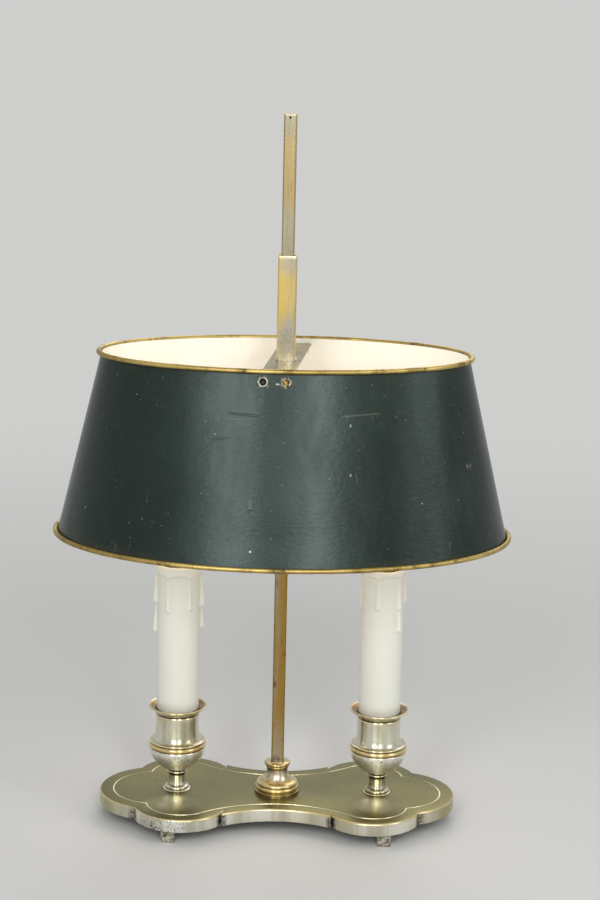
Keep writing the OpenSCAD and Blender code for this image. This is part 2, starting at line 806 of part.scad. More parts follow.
module rivet(bore) {
    inside = sheet + tab_gap + crossbar_thickness + 0.35;
    head = 0.9;
    tail = 0.7;
    difference() {
        union() {
            translate([0, 0, -inside]) cylinder(r = rivet_radius - fit, h = inside);
            translate([0, 0, 0.1]) cylinder(r1 = rivet_head_radius, r2 = rivet_head_radius - 0.6,
                h = head - 0.1);
            cylinder(r = rivet_radius - fit, h = head);
            translate([0, 0, -inside - tail]) cylinder(r = rivet_tail_radius, h = tail);
        }
        if (bore > 0) translate([0, 0, -6]) cylinder(r = bore, h = 12);
    }
}

module solid_rivets() {
    color([0.75, 0.6, 0.3]) for (face = [0, 180]) at_rivet(1, face) rivet(0);
}

module hollow_rivets() {
    color([0.5, 0.4, 0.25]) for (face = [0, 180]) at_rivet(-1, face)
        rivet(rivet_radius * 0.6);
}

base_plate();
placed_foot(-1, -1);  // foot_front_left
placed_foot(1, -1);  // foot_front_right
placed_foot(-1, 1);  // foot_back_left
placed_foot(1, 1);  // foot_back_right
foot_screws();
underside_cover();
cover_screws();
cord_grommet();
stem_collar();
stem_rod();
stem_washer();
stem_nut();
color([0.74, 0.7, 0.56]) at_light(-1) cup();  // left_cup
color([0.74, 0.7, 0.56]) at_light(1) cup();  // right_cup
color([0.7, 0.62, 0.4]) at_light(-1) drip_pan();  // left_drip_pan
color([0.7, 0.62, 0.4]) at_light(1) drip_pan();  // right_drip_pan
color([0.6, 0.6, 0.6]) at_light(-1) tie_tube();  // left_tie_tube
color([0.6, 0.6, 0.6]) at_light(1) tie_tube();  // right_tie_tube
tie_tube_washers();
tie_tube_nuts();
holder_nuts();
color([0.6, 0.6, 0.62]) at_light(-1) holder_bracket();  // left_holder_bracket
color([0.6, 0.6, 0.62]) at_light(1) holder_bracket();  // right_holder_bracket
color([0.12, 0.12, 0.12]) at_light(-1) lampholder();  // left_lampholder
color([0.12, 0.12, 0.12]) at_light(1) lampholder();  // right_lampholder
color([0.8, 0.7, 0.4]) at_light(-1) socket_shell();  // left_socket_shell
color([0.8, 0.7, 0.4]) at_light(1) socket_shell();  // right_socket_shell
color([0.8, 0.7, 0.4]) at_light(-1) contact();  // left_contact
color([0.8, 0.7, 0.4]) at_light(1) contact();  // right_contact
color([0.7, 0.7, 0.7]) at_light(-1) bulb_cap();  // left_bulb_cap
color([0.7, 0.7, 0.7]) at_light(1) bulb_cap();  // right_bulb_cap
color([1, 0.95, 0.85]) at_light(-1) bulb_glass();  // left_bulb_glass
color([1, 0.95, 0.85]) at_light(1) bulb_glass();  // right_bulb_glass
color([0.9, 0.8, 0.6]) at_light(-1) filament();  // left_filament
color([0.9, 0.8, 0.6]) at_light(1) filament();  // right_filament
color([0.93, 0.92, 0.86]) at_light(-1) candle_sleeve(left_runs);  // left_candle_sleeve
color([0.93, 0.92, 0.86]) at_light(1) candle_sleeve(right_runs);  // right_candle_sleeve
color([0.45, 0.25, 0.15]) lead(-1);  // left_lead
color([0.45, 0.25, 0.15]) lead(1);  // right_lead
wire_splices();
shade_shell();
rim(shade_top);  // shade_top_rim
rim(shade_bottom);  // shade_bottom_rim
crossbar();
slider_sleeve();
friction_spring();
solid_rivets();
hollow_rivets();
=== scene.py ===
"""Bouillotte lamp: a lobed plated base with two candle lights and a painted oval shade that slides
on a square rod. Metres, +Z up, origin on the table under the middle of the rod."""
import bpy
import bmesh
import math
import random
from mathutils import Matrix, Vector, noise


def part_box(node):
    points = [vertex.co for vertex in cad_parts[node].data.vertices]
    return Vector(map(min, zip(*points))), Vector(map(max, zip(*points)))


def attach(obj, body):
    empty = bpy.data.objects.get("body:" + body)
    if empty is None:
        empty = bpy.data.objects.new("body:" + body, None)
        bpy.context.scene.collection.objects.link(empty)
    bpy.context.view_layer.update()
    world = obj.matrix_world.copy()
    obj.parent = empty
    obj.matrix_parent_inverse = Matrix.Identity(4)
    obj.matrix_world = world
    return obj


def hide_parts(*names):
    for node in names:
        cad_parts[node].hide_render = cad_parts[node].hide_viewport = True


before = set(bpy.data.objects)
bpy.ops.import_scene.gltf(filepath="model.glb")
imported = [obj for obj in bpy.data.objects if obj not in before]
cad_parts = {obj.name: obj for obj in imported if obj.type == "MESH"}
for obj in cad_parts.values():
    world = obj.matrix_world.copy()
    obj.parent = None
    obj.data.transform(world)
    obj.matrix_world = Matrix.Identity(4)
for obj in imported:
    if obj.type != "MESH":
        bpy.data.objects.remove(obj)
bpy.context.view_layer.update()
scene = bpy.context.scene
scene.view_settings.view_transform = "Standard"
MM = 0.001


# ---- Camera ----
# A long lens in front of the lamp, a little above the shade and looking down on it.
def linked(name, data):
    """A new object in the scene."""
    thing = bpy.data.objects.new(name, data)
    scene.collection.objects.link(thing)
    return thing


camera_place = Vector((0.0002, -1.3791, 0.5545))
camera_yaw, camera_pitch, camera_roll = 0.0072, 0.2218, 0.0225
forward = Vector((math.sin(camera_yaw) * math.cos(camera_pitch),
                  math.cos(camera_yaw) * math.cos(camera_pitch), -math.sin(camera_pitch)))
level_right = Vector((math.cos(camera_yaw), -math.sin(camera_yaw), 0))
level_up = level_right.cross(forward)
right = level_right * math.cos(camera_roll) + level_up * math.sin(camera_roll)
up = right.cross(forward)
lens = bpy.data.cameras.new("camera")
lens.lens, lens.sensor_width = 90, 36
camera = linked("camera", lens)
camera.matrix_world = Matrix.Translation(camera_place) @ Matrix((
    (right.x, up.x, -forward.x), (right.y, up.y, -forward.y), (right.z, up.z, -forward.z))).to_4x4()
scene.camera = camera


# ---- Base plate ----
# A heavy plate with a side wall all round, cast hollow and silver plated. Its edge is rounded over
# by years of polishing, a line is engraved inside the edge, and the plate has yellowed in places.
# Light is painted into it too: a bright painted reflection of the bulbs' light in front of each
# cup, a bright engraved line, painted shadow round the cups and the collar, painted shade in the
# notch corners and at both ends of the wall, and a top painted darker than the wall.
class Level:
    """A number that varies over a surface; arithmetic on it adds Math nodes."""

    def __init__(self, finish, socket):
        self.finish, self.socket = finish, socket

    def __add__(self, other):
        return self.finish.maths("ADD", self, other)

    def __sub__(self, other):
        return self.finish.maths("SUBTRACT", self, other)

    def __rsub__(self, other):
        return self.finish.maths("SUBTRACT", other, self)

    def __mul__(self, other):
        return self.finish.maths("MULTIPLY", self, other)

    def __abs__(self):
        return self.finish.maths("ABSOLUTE", self)

    __radd__, __rmul__ = __add__, __mul__

    def between(self, low, high, start=0.0, end=1.0):
        """start below low, end above high, and a smooth way between them."""
        spread = self.finish.add("ShaderNodeMapRange", {"interpolation_type": "SMOOTHSTEP"},
                                 {0: self, 1: low, 2: high, 3: start, 4: end})
        return Level(self.finish, spread.outputs[0])

    def below(self, low, high):
        """1 below low, 0 above high."""
        return self.between(low, high, 1.0, 0.0)

    def within(self, none, full, fading, gone):
        """1 from full to fading, 0 below none and above gone."""
        return self.between(none, full) * self.below(fading, gone)


class Tree:
    """A node tree, started empty."""

    def __init__(self, tree):
        self.tree = tree
        tree.nodes.clear()

    def add(self, kind, settings=None, sockets=None):
        """A node of a kind: its settings first, then the values or links of its sockets."""
        node = self.tree.nodes.new(kind)
        for name, value in (settings or {}).items():
            setattr(node, name, value)
        for name, value in (sockets or {}).items():
            value = value.socket if isinstance(value, Level) else value
            if isinstance(value, bpy.types.NodeSocket):
                self.tree.links.new(value, node.inputs[name])
            else:
                node.inputs[name].default_value = value
        return node


class Finish(Tree):
    """The node tree of one material, around one Principled shader."""

    def __init__(self, name, **constants):
        self.material = bpy.data.materials.new(name)
        self.material.use_nodes = True
        super().__init__(self.material.node_tree)
        self.shader = self.add("ShaderNodeBsdfPrincipled", {},
                               {key.replace("_", " "): value for key, value in constants.items()})
        self.output = self.add("ShaderNodeOutputMaterial", {}, {0: self.shader.outputs[0]})
        self.place = self.add("ShaderNodeTexCoord").outputs["Object"]
        axes = self.add("ShaderNodeSeparateXYZ", {}, {0: self.place})
        self.x, self.y, self.z = (Level(self, axis) for axis in axes.outputs)

    def maths(self, operation, a, b=0.0):
        node = self.add("ShaderNodeMath", {"operation": operation}, {0: a, 1: b})
        return Level(self, node.outputs[0])

    def vector(self, operation, *values):
        """A Vector Math node's answer, as a Level where it is one number."""
        node = self.add("ShaderNodeVectorMath", {"operation": operation}, dict(enumerate(values)))
        if operation in ("DISTANCE", "LENGTH"):
            return Level(self, node.outputs["Value"])
        return node.outputs[0]

    def grain(self, scale, detail=3.0, stretch=(1, 1, 1), rough=0.55):
        """Noise from 0 to 1, drawn out along the axes where stretch is small."""
        spread = self.add("ShaderNodeMapping", {}, {0: self.place, 3: stretch})
        node = self.add("ShaderNodeTexNoise", {}, {"Vector": spread.outputs[0], "Scale": scale,
                                                   "Detail": detail, "Roughness": rough})
        return Level(self, node.outputs[0])

    def specks(self, scale, size):
        """1 in small round specks, 0 between them."""
        node = self.add("ShaderNodeTexVoronoi", {}, {"Vector": self.place, "Scale": scale})
        return Level(self, node.outputs["Distance"]).below(size * 0.6, size)

    def near(self, spot, full, none, place=None):
        """1 within a distance of a spot, fading to 0 further out, all in millimetres."""
        return self.vector("DISTANCE", self.place if place is None else place,
                           tuple(c * MM for c in spot)).below(full * MM, none * MM)

    def blend(self, share, first, second):
        """The first colour where share is 0, the second where it is 1. A colour is a link, or
        screen values of red, green and blue."""
        first, second = (tone(*c) if isinstance(c, tuple) else c for c in (first, second))
        node = self.add("ShaderNodeMix", {"data_type": "RGBA"}, {0: share, 6: first, 7: second})
        return node.outputs[2]

    def coats(self, colour, *layers):
        """A colour with layers over it, each the share of it that shows and its colour."""
        for share, layer in layers:
            colour = self.blend(share, colour, layer)
        return colour

    def mark(self, name):
        """A value painted on the mesh's points."""
        return Level(self, self.add("ShaderNodeAttribute", {"attribute_name": name}).outputs["Fac"])

    def set(self, height=None, depth=0.0002, **sockets):
        """Links the varying sockets of the shader, and a bump of the height, in metres of depth."""
        for name, value in sockets.items():
            value = value.socket if isinstance(value, Level) else value
            self.tree.links.new(value, self.shader.inputs[name.replace("_", " ")])
        if height is not None:
            bump = self.add("ShaderNodeBump", {}, {"Height": height, "Distance": depth,
                                                   "Strength": 1.0})
            self.tree.links.new(bump.outputs[0], self.shader.inputs["Normal"])
        return self.material


def tone(red, green, blue):
    """A colour from its screen values of 0 to 255."""
    return tuple(pow((value / 255 + 0.055) / 1.055, 2.4) for value in (red, green, blue)) + (1.0,)


def made(name, points, faces, finishes, smooth=35):
    """An object of a closed mesh in metres, smooth where it turns less than an angle."""
    mesh = bpy.data.meshes.new(name)
    mesh.from_pydata([tuple(p) for p in points], [], faces)
    for finish in finishes:
        mesh.materials.append(finish)
    mesh.shade_smooth()
    mesh.set_sharp_from_angle(angle=math.radians(smooth))
    return linked(name, mesh)


def painted(mesh, name, values):
    """Gives every point of a mesh a value, for its finish to read."""
    mesh.attributes.new(name, "FLOAT", "POINT").data.foreach_set("value", values)


def rings_to_faces(rings, count, closed=False):
    """Quads between rings of count points each; closed joins the last ring to the first."""
    spans = rings if closed else rings - 1
    return [(a * count + i, a * count + (i + 1) % count,
             (a + 1) % rings * count + (i + 1) % count, (a + 1) % rings * count + i)
            for a in range(spans) for i in range(count)]


def outward(piece):
    """Turns the faces of a closed piece outwards."""
    shell = bmesh.new()
    shell.from_mesh(piece.data)
    bmesh.ops.recalc_face_normals(shell, faces=shell.faces)
    shell.to_mesh(piece.data)
    shell.free()
    return piece


def middle_of(node):
    """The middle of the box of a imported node, in metres."""
    return sum(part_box(node), Vector((0, 0, 0))) / 2


plate_length, plate_depth = 230.0, 113.0
end_radius, lobe_radius, lobe_spacing = 37.7, 31.0, 122.0
waist_length, waist_depth, waist_radius = 69.0, 69.2, 66.0
line_inset, line_width, line_depth, line_side = 8.5, 1.1, 0.35, 0.2
plate_wall, top_rounding, low_rounding, polished_off = 2.6, 1.5, 0.7, 0.18
smallest_step, low_steps, top_steps = 6.0, 4, 6
waist_steps, lobe_steps, end_steps = 20, 34, 22
end_centre, lobe_centre = plate_length / 2 - end_radius, plate_depth / 2 - lobe_radius
hollow_centre = waist_depth / 2 + waist_radius
plate_low, plate_high = (corner[2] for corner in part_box("base_plate"))


def arc_points(centre, radius, start, end, count):
    """Points along an arc, angles in radians, without the last."""
    turns = [start + (end - start) * i / count for i in range(count)]
    return [(centre[0] + radius * math.cos(turn), centre[1] + radius * math.sin(turn))
            for turn in turns]


def crossing(a, ra, b, rb, side):
    """Where two circles cross, on one side of the line between their centres."""
    ax, ay, bx, by = *a, *b
    apart = math.hypot(bx - ax, by - ay)
    along = (ra * ra - rb * rb + apart * apart) / (2 * apart)
    off = side * math.sqrt(ra * ra - along * along)
    return (ax + along * (bx - ax) / apart - off * (by - ay) / apart,
            ay + along * (by - ay) / apart + off * (bx - ax) / apart)


def quarter_outline(inset, notched):
    """The outline from the middle of the waist to the end, in one quarter, moved inwards. Notched,
    it steps out square where the waist meets a lobe."""
    hollow, hollow_r = (0, hollow_centre), waist_radius + inset
    lobe, lobe_r = (lobe_spacing / 2, lobe_centre), lobe_radius - inset
    end, end_r = (end_centre, 0), end_radius - inset
    tip = crossing(end, end_r, lobe, lobe_r, -1)
    if notched:
        half = waist_length / 2 - inset
        corner = (half, hollow_centre - math.sqrt(hollow_r ** 2 - half ** 2))
        step = lobe[1] + math.sqrt(max(smallest_step ** 2, lobe_r ** 2 - (half - lobe[0]) ** 2))
        start = (lobe[0] - math.sqrt(lobe_r ** 2 - (step - lobe[1]) ** 2), step)
    else:
        corner = start = crossing(hollow, hollow_r, lobe, lobe_r, 1)
    turn = math.atan2(corner[1] - hollow[1], corner[0])
    points = arc_points(hollow, hollow_r, -math.pi / 2, turn, waist_steps)
    if notched:
        halfway = (corner[1] + start[1]) / 2 if start[0] < half + 0.1 else start[1]
        points += [corner, (half, halfway)]
    points += arc_points(lobe, lobe_r, math.atan2(start[1] - lobe[1], start[0] - lobe[0]),
                         math.atan2(tip[1] - lobe[1], tip[0] - lobe[0]), lobe_steps)
    points += arc_points(end, end_r, math.atan2(tip[1], tip[0] - end[0]), 0, end_steps)
    return points + [(end[0] + end_r, 0)]


work = bmesh.new()


def plate_ring(inset, height, notched=True):
    """Points all round the plate, pulled in a little where polishing took the notched edge off."""
    quarter = quarter_outline(inset, notched)
    half = quarter + [(x, -y) for x, y in reversed(quarter[:-1])]
    ring = []
    for x, y in half + [(-x, y) for x, y in reversed(half[1:-1])]:
        share = noise.noise(Vector((x * 0.05, y * 0.05, 3))) * 0.5 + 0.5
        kept = 1 - polished_off * share / math.hypot(x, y) if notched else 1
        ring.append(work.verts.new((x * kept * MM, y * kept * MM, height)))
    return ring


def strips_between(rings):
    """Faces between each ring of points and the next."""
    for lower, upper in zip(rings, rings[1:]):
        for corners in zip(lower, lower[1:] + lower[:1], upper[1:] + upper[:1], upper):
            work.faces.new(corners)


def flat_between(*loops):
    """Fills a flat area between closed loops of points."""
    edges = []
    for loop in loops:
        edges += [work.edges.get((a, b)) or work.edges.new((a, b))
                  for a, b in zip(loop, loop[1:] + loop[:1])]
    bmesh.ops.triangle_fill(work, use_beauty=True, use_dissolve=False, edges=edges)


shown = []
for k in reversed(range(low_steps + 1)):
    turn = math.radians(90 * k / low_steps)
    shown.append(plate_ring(low_rounding - low_rounding * math.cos(turn),
                            plate_low + (low_rounding - low_rounding * math.sin(turn)) * MM))
for k in reversed(range(top_steps + 1)):
    turn = math.radians(90 * k / top_steps)
    shown.append(plate_ring(top_rounding - top_rounding * math.sin(turn),
                            plate_high - top_rounding * (1 - math.cos(turn)) * MM))
groove = [plate_ring(line_inset + inward, plate_high - drop * MM, False) for inward, drop in (
    (0, 0), (line_side, line_depth), (line_width - line_side, line_depth), (line_width, 0))]
strips_between(shown)
strips_between(groove)
flat_between(shown[-1], groove[0])
flat_between(groove[3])
inside = [plate_ring(plate_wall, plate_low), plate_ring(plate_wall, plate_high - plate_wall * MM)]
strips_between(inside)
flat_between(shown[0], inside[0])
flat_between(inside[1])
bmesh.ops.recalc_face_normals(work, faces=work.faces)
plate_mesh = bpy.data.meshes.new("base_top")
work.to_mesh(plate_mesh)
work.free()
plate_mesh.shade_smooth()
plate_mesh.set_sharp_from_angle(angle=math.radians(40))
line_start = len(shown) * len(shown[0]) + len(groove[0])
line_end = line_start + 2 * len(groove[0])
painted(plate_mesh, "line", [float(line_start <= k < line_end)
                             for k in range(len(plate_mesh.vertices))])
base_top = linked("base_top", plate_mesh)

outline = quarter_outline(0, True)
waist_corner = outline[waist_steps] + (0,)
lobe_corner = outline[waist_steps + 2 + lobe_steps] + (0,)
finish = Finish("worn_silver_plate", Metallic=1.0)
flat_place = finish.vector("MULTIPLY", finish.place, (1, 1, 0))
mirrored = finish.vector("ABSOLUTE", flat_place)
top_face = finish.z.between(plate_high - 0.00030, plate_high - 0.00005)
# painted highlight: the bed of the engraved line painted bright, as where light catches it
line_bed_highlight = finish.mark("line").between(0.3, 0.7)
worn_round = finish.z.between(plate_high - 0.0017, plate_high - 0.0010) * (1 - top_face)
streaks = finish.grain(52, 5, (1, 1, 0.06), 0.6)
blotches = finish.grain(22, 6, (1, 1, 1), 0.62)
cloud = finish.grain(7, 3)
stain = (blotches * 0.55 + cloud * 0.45).between(0.40, 0.66)
spots = finish.grain(120, 4, (1, 1, 1), 0.6).between(0.58, 0.72)
speckle = finish.grain(1100, 4, (1, 1, 1), 0.65).between(0.40, 0.66)


def seen_above(x, y, full, none):
    """1 round a spot on the plate at any height, fading to 0 further out, in millimetres."""
    return finish.near((x, y, 0), full, none, flat_place)


# painted reflection: the bulbs' light reflected bright on the plate in front of each cup
brightened = seen_above(-66, -32, 3, 23) + seen_above(63, -28, 2, 19)
bulb_reflection_streak = seen_above(-65.5, -20, 1, 10) + seen_above(-65.5, -31, 1, 13) \
    + seen_above(63, -19, 1, 11) + seen_above(63, -29, 1, 13)
# painted shade: the wall darker in its notch corners, broken up by noise
notch_corner_shade = finish.near(lobe_corner, 1.6, 5.5, mirrored) + finish.near(waist_corner, 1.6, 5.0, mirrored)
notch_corner_shade = notch_corner_shade * finish.grain(150, 4, (1, 1, 0.4)).between(0.28, 0.46) \
    * finish.grain(700, 5, (1, 1, 1), 0.7).between(0.40, 0.54, 0.30, 1.0)
pitted = seen_above(-76, -51, 5, 16) + seen_above(-60, -57, 3, 9) * 0.5
pits = finish.grain(820, 5, (1, 1, 0.8), 0.7).between(0.51, 0.56) * pitted \
    * finish.grain(170, 3).between(0.42, 0.54)
# painted shadow: darker rings where the cups and the collar stand on the plate
seats = [finish.near((middle_of(cup).x / MM, 0, plate_high / MM), 9.3, 10.4)
         for cup in ("left_cup", "right_cup")]
contact = seats[0] + seats[1] + finish.near((0, 0, plate_high / MM), 14.6, 15.6)
# the top is painted dark olive, partly tarnish and partly a painted dark reflection; the wall of
# the same plate is painted much lighter, as lit
top_stains_and_dark_reflection = finish.coats(
    (94, 91, 50), (stain, (112, 106, 60)),
    (spots * 0.3, (100, 93, 58)),
    (cloud.between(0.40, 0.62) * 0.5, (136, 126, 76)),
    (speckle * 0.35, (150, 142, 98)),
    (brightened * 0.6, (206, 197, 150)),
    (bulb_reflection_streak * 0.8, (252, 246, 214)))
lit_wall_shade_and_wear = finish.coats(
    (242, 242, 234), (streaks.between(0.38, 0.62), (196, 194, 178)),
    (cloud.between(0.50, 0.70) * 0.4, (206, 192, 148)),
    (finish.grain(70, 5, (1, 1, 0.2), 0.7).between(0.62, 0.78) * 0.7, (110, 98, 64)),
    # painted shade: the wall darker towards both ends
    (abs(finish.x).between(0.080, 0.112) * 0.7, (158, 151, 100)),
    (notch_corner_shade * 0.85, (52, 50, 36)),
    (pits * 0.9, (34, 32, 22)))
colour = finish.coats(
    lit_wall_shade_and_wear, (top_face, top_stains_and_dark_reflection),
    (worn_round * finish.grain(30, 3).between(0.30, 0.55, 0.4, 0.9), (214, 200, 150)),
    (line_bed_highlight, (236, 228, 194)),
    (contact * 0.55, (74, 66, 36)))
rough = 0.22 + top_face * 0.03 + stain * 0.05 + spots * 0.10 + pits * 0.3 + line_bed_highlight * 0.05 \
    + finish.grain(300, 3, (1, 1, 0.3)) * 0.10
relief = finish.grain(45, 4, (1, 1, 1), 0.5) * 0.5 + blotches * 0.3 + finish.grain(700, 3) * 0.05 \
    + finish.grain(110, 5, (1, 1, 0.25)) * 0.25 - pits * 0.6
plate_mesh.materials.append(finish.set(height=relief, depth=0.00035, Base_Color=colour,
                                       Roughness=rough))
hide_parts("base_plate")
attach(base_top, "base")


# ---- Feet ----
# Four rough cast blocks under the lobes, tapered and left as cast. A screw in a sunk hole under
# each one holds it to the plate.
def repeater():
    """A tree that sets a copy of one piece on each spot, turned by the spot's own turn."""
    group = bpy.data.node_groups.new("set_on_spots", "GeometryNodeTree")
    for label, way, kind in (("Geometry", "INPUT", "Geometry"), ("Piece", "INPUT", "Object"),
                             ("Finish", "INPUT", "Material"), ("Geometry", "OUTPUT", "Geometry")):
        group.interface.new_socket(label, in_out=way, socket_type="NodeSocket" + kind)
    tree = Tree(group)
    given = tree.add("NodeGroupInput").outputs
    piece = tree.add("GeometryNodeObjectInfo", {}, {"Object": given["Piece"]})
    turn = tree.add("GeometryNodeInputNamedAttribute", {"data_type": "FLOAT_VECTOR"},
                    {"Name": "turn"})
    copies = tree.add("GeometryNodeInstanceOnPoints", {}, {
        "Points": given["Geometry"], "Instance": piece.outputs["Geometry"],
        "Rotation": turn.outputs[0]})
    real = tree.add("GeometryNodeRealizeInstances", {}, {0: copies.outputs[0]})
    coated = tree.add("GeometryNodeSetMaterial", {}, {0: real.outputs[0],
                                                      "Material": given["Finish"]})
    tree.add("NodeGroupOutput", {}, {0: coated.outputs[0]})
    return group


set_on_spots = repeater()


def plain_mesh(thing):
    """The mesh that an object's modifiers give."""
    graph = bpy.context.evaluated_depsgraph_get()
    return bpy.data.meshes.new_from_object(thing.evaluated_get(graph), depsgraph=graph)


def repeated(name, piece, spots, finish):
    """Copies of a piece on spots, each a place and a turn, as one object. The piece itself isn't
    kept."""
    seeds = bpy.data.meshes.new(name + "_spots")
    seeds.from_pydata([place for place, turn in spots], [], [])
    turns = seeds.attributes.new("turn", "FLOAT_VECTOR", "POINT")
    for point, (place, turn) in zip(turns.data, spots):
        point.vector = turn
    grower = linked(name + "_spots", seeds)
    modifier = grower.modifiers.new("repeat", "NODES")
    modifier.node_group = set_on_spots
    sockets = {item.name: item.identifier for item in set_on_spots.interface.items_tree
               if item.in_out == "INPUT"}
    modifier[sockets["Piece"]], modifier[sockets["Finish"]] = piece, finish
    mesh = plain_mesh(grower)
    mesh.name = name
    grower.modifiers.remove(modifier)
    bpy.data.objects.remove(grower)
    bpy.data.objects.remove(piece)
    return linked(name, mesh)


def circle(radius, count, height):
    """A level ring of points in metres, from sizes in millimetres."""
    return [(radius * math.cos(2 * math.pi * i / count) * MM,
             radius * math.sin(2 * math.pi * i / count) * MM, height * MM) for i in range(count)]


def square_rings(heights, corner, steps=4):
    """Rings of a square with rounded corners: heights are (z, half width) in millimetres."""
    points = []
    for z, half in heights:
        rounding = min(corner, half * 0.9)
        for quarter in range(4):
            for i in range(steps + 1):
                angle = math.radians(90 * quarter + 90 * i / steps)
                cx = (half - rounding) * (1 if quarter in (0, 3) else -1)
                cy = (half - rounding) * (1 if quarter in (0, 1) else -1)
                points.append(((cx + rounding * math.cos(angle)) * MM,
                               (cy + rounding * math.sin(angle)) * MM, z * MM))
    return points, 4 * (steps + 1)


def capped(rings, count):
    """Faces of a stack of rings that is closed at both ends."""
    return rings_to_faces(rings, count) + [
        tuple(reversed(range(count))), tuple(range((rings - 1) * count, rings * count))]


foot_low, foot_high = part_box("foot_front_left")
foot_height, foot_half = (foot_high.z - foot_low.z) / MM, (foot_high.x - foot_low.x) / MM / 2
foot_corner, screw_hole, hole_depth, cast_waves = 1.2, 3.0, 1.8, 0.22
outside, count = square_rings([(height, foot_half - inset) for height, inset in (
    (foot_height, 0.1), (foot_height - 0.5, 0.02), (foot_height * 0.75, 0.2),
    (foot_height * 0.5, 0.35), (foot_height * 0.25, 0.5), (0.6, 0.6), (0.15, 0.75), (0.0, 1.1))],
    foot_corner)
points = []
for point in map(Vector, outside):
    wave = cast_waves * MM * (0.5 + 0.5 * noise.noise(point * 900))
    points.append(point - Vector((point.x, point.y, 0)).normalized() * wave)
for height, radius in ((0.0, screw_hole + 0.15), (0.15, screw_hole), (hole_depth, screw_hole)):
    points += circle(radius, count, height)
foot = outward(made("foot", points, capped(len(points) // count, count), [], 50))

finish = Finish("rough_cast_metal", Metallic=1.0)
pits = finish.grain(420, 5, (1, 1, 1), 0.65)
crust = finish.grain(170, 4)
colour = finish.coats((120, 116, 98), (pits.between(0.40, 0.58), (206, 202, 184)),
                      (crust.between(0.52, 0.70), (74, 68, 52)))
rough_cast = finish.set(height=pits * 0.6 + crust * 0.4, depth=0.0006, Base_Color=colour,
                        Roughness=0.42 + crust * 0.3)
foot_middles = [middle_of(name) for name in (
    "foot_front_left", "foot_front_right", "foot_back_left", "foot_back_right")]
feet = repeated("feet", foot, [
    ((middle.x, middle.y, foot_low.z), (0, 0, quarters * math.pi / 2))
    for middle, quarters in zip(foot_middles, (0, 1, -1, 2))], rough_cast)
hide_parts("foot_front_left", "foot_front_right", "foot_back_left", "foot_back_right")
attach(feet, "base")


# ---- Screws under the base ----
# Zinc-plated slotted screws: four in the feet and two that hold the sheet cover.
def lathe(name, profile, steps, finish, centre=(0, 0), smooth=35, closed=False):
    """A turned piece: profile is a list of (radius, height) in millimetres, outside upwards."""
    points, faces, rings = [], [], []
    for radius, height in profile:
        ring = circle(radius, steps if radius else 1, height)
        rings.append(range(len(points), len(points) + len(ring)))
        points += [(centre[0] + x, centre[1] + y, z) for x, y, z in ring]
    for low, high in list(zip(rings, rings[1:])) + ([(rings[-1], rings[0])] if closed else []):
        for i in range(steps):
            corners = tuple(dict.fromkeys((
                low[i % len(low)], low[(i + 1) % len(low)],
                high[(i + 1) % len(high)], high[i % len(high)])))
            if len(corners) > 2:
                faces.append(corners)
    return outward(made(name, points, faces, [finish] if finish else [], smooth))


def slotted_head(name, radius, height, shank):
    """A screw, head down at zero height, with a slot across the head."""
    screw = lathe(name, [(0, 0), (radius - 0.25, 0), (radius, 0.25), (radius, height),
                         (shank, height), (shank, height + 3), (0, height + 3)], 32, None)
    slot_reach, slot_half, slot_deep = 1.17 * radius * MM, 0.0003, 0.0006
    cutter = made(name + "_slot", [
        (x * slot_reach, y * slot_half, z) for z in (-MM, slot_deep)
        for x, y in ((-1, -1), (1, -1), (1, 1), (-1, 1))], capped(2, 4), [])
    modifier = screw.modifiers.new("slot", "BOOLEAN")
    modifier.operation, modifier.solver, modifier.object = "DIFFERENCE", "EXACT", cutter
    screw.data = plain_mesh(screw)
    screw.modifiers.clear()
    bpy.data.objects.remove(cutter)
    return screw


foot_head, cover_head = 2.8, 2.4
finish = Finish("zinc_plate", Metallic=1.0)
swirl = finish.grain(400, 4)
colour = finish.coats((150, 152, 150), (swirl.between(0.4, 0.7), (196, 196, 190)),
                      (finish.grain(90, 4).between(0.60, 0.72), (120, 98, 70)))
zinc = finish.set(height=swirl, depth=0.00005, Base_Color=colour, Roughness=0.28 + swirl * 0.25)
cover_low, cover_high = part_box("cover_screws")
cover_x = cover_high.x - cover_head * MM
turn_of = random.Random(4)
for name, node, head, places in (
        ("foot_screw_heads", "foot_screws", (foot_head, 1.4, 1.5),
         [(middle.x, middle.y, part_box("foot_screws")[0].z) for middle in foot_middles]),
        ("cover_screw_heads", "cover_screws", (cover_head, 1.0, 1.2),
         [(x, 0, cover_low.z) for x in (-cover_x, cover_x)])):
    screws = repeated(name, slotted_head(name + "_one", *head), [
        (place, (0, 0, turn_of.uniform(0, math.pi))) for place in places], zinc)
    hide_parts(node)
    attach(screws, "base")


# ---- Cover under the base and cord grommet ----
# A painted sheet closes the hollow of the base, and a rubber grommet lines the hole in the back
# wall that a mains cord goes through.
def dressed(nodes, finish):
    """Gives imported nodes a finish."""
    for name in nodes:
        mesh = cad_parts[name].data
        mesh.materials.clear()
        mesh.materials.append(finish)


def moulded(name, scale, detail, dark, light, rough, rougher, depth):
    """A plain moulded skin with a fine grain in its colour, gloss and surface."""
    finish = Finish(name, Metallic=0.0)
    skin = finish.grain(scale, detail)
    return finish.set(height=skin, depth=depth, Base_Color=finish.blend(skin, dark, light),
                      Roughness=rough + skin * rougher)


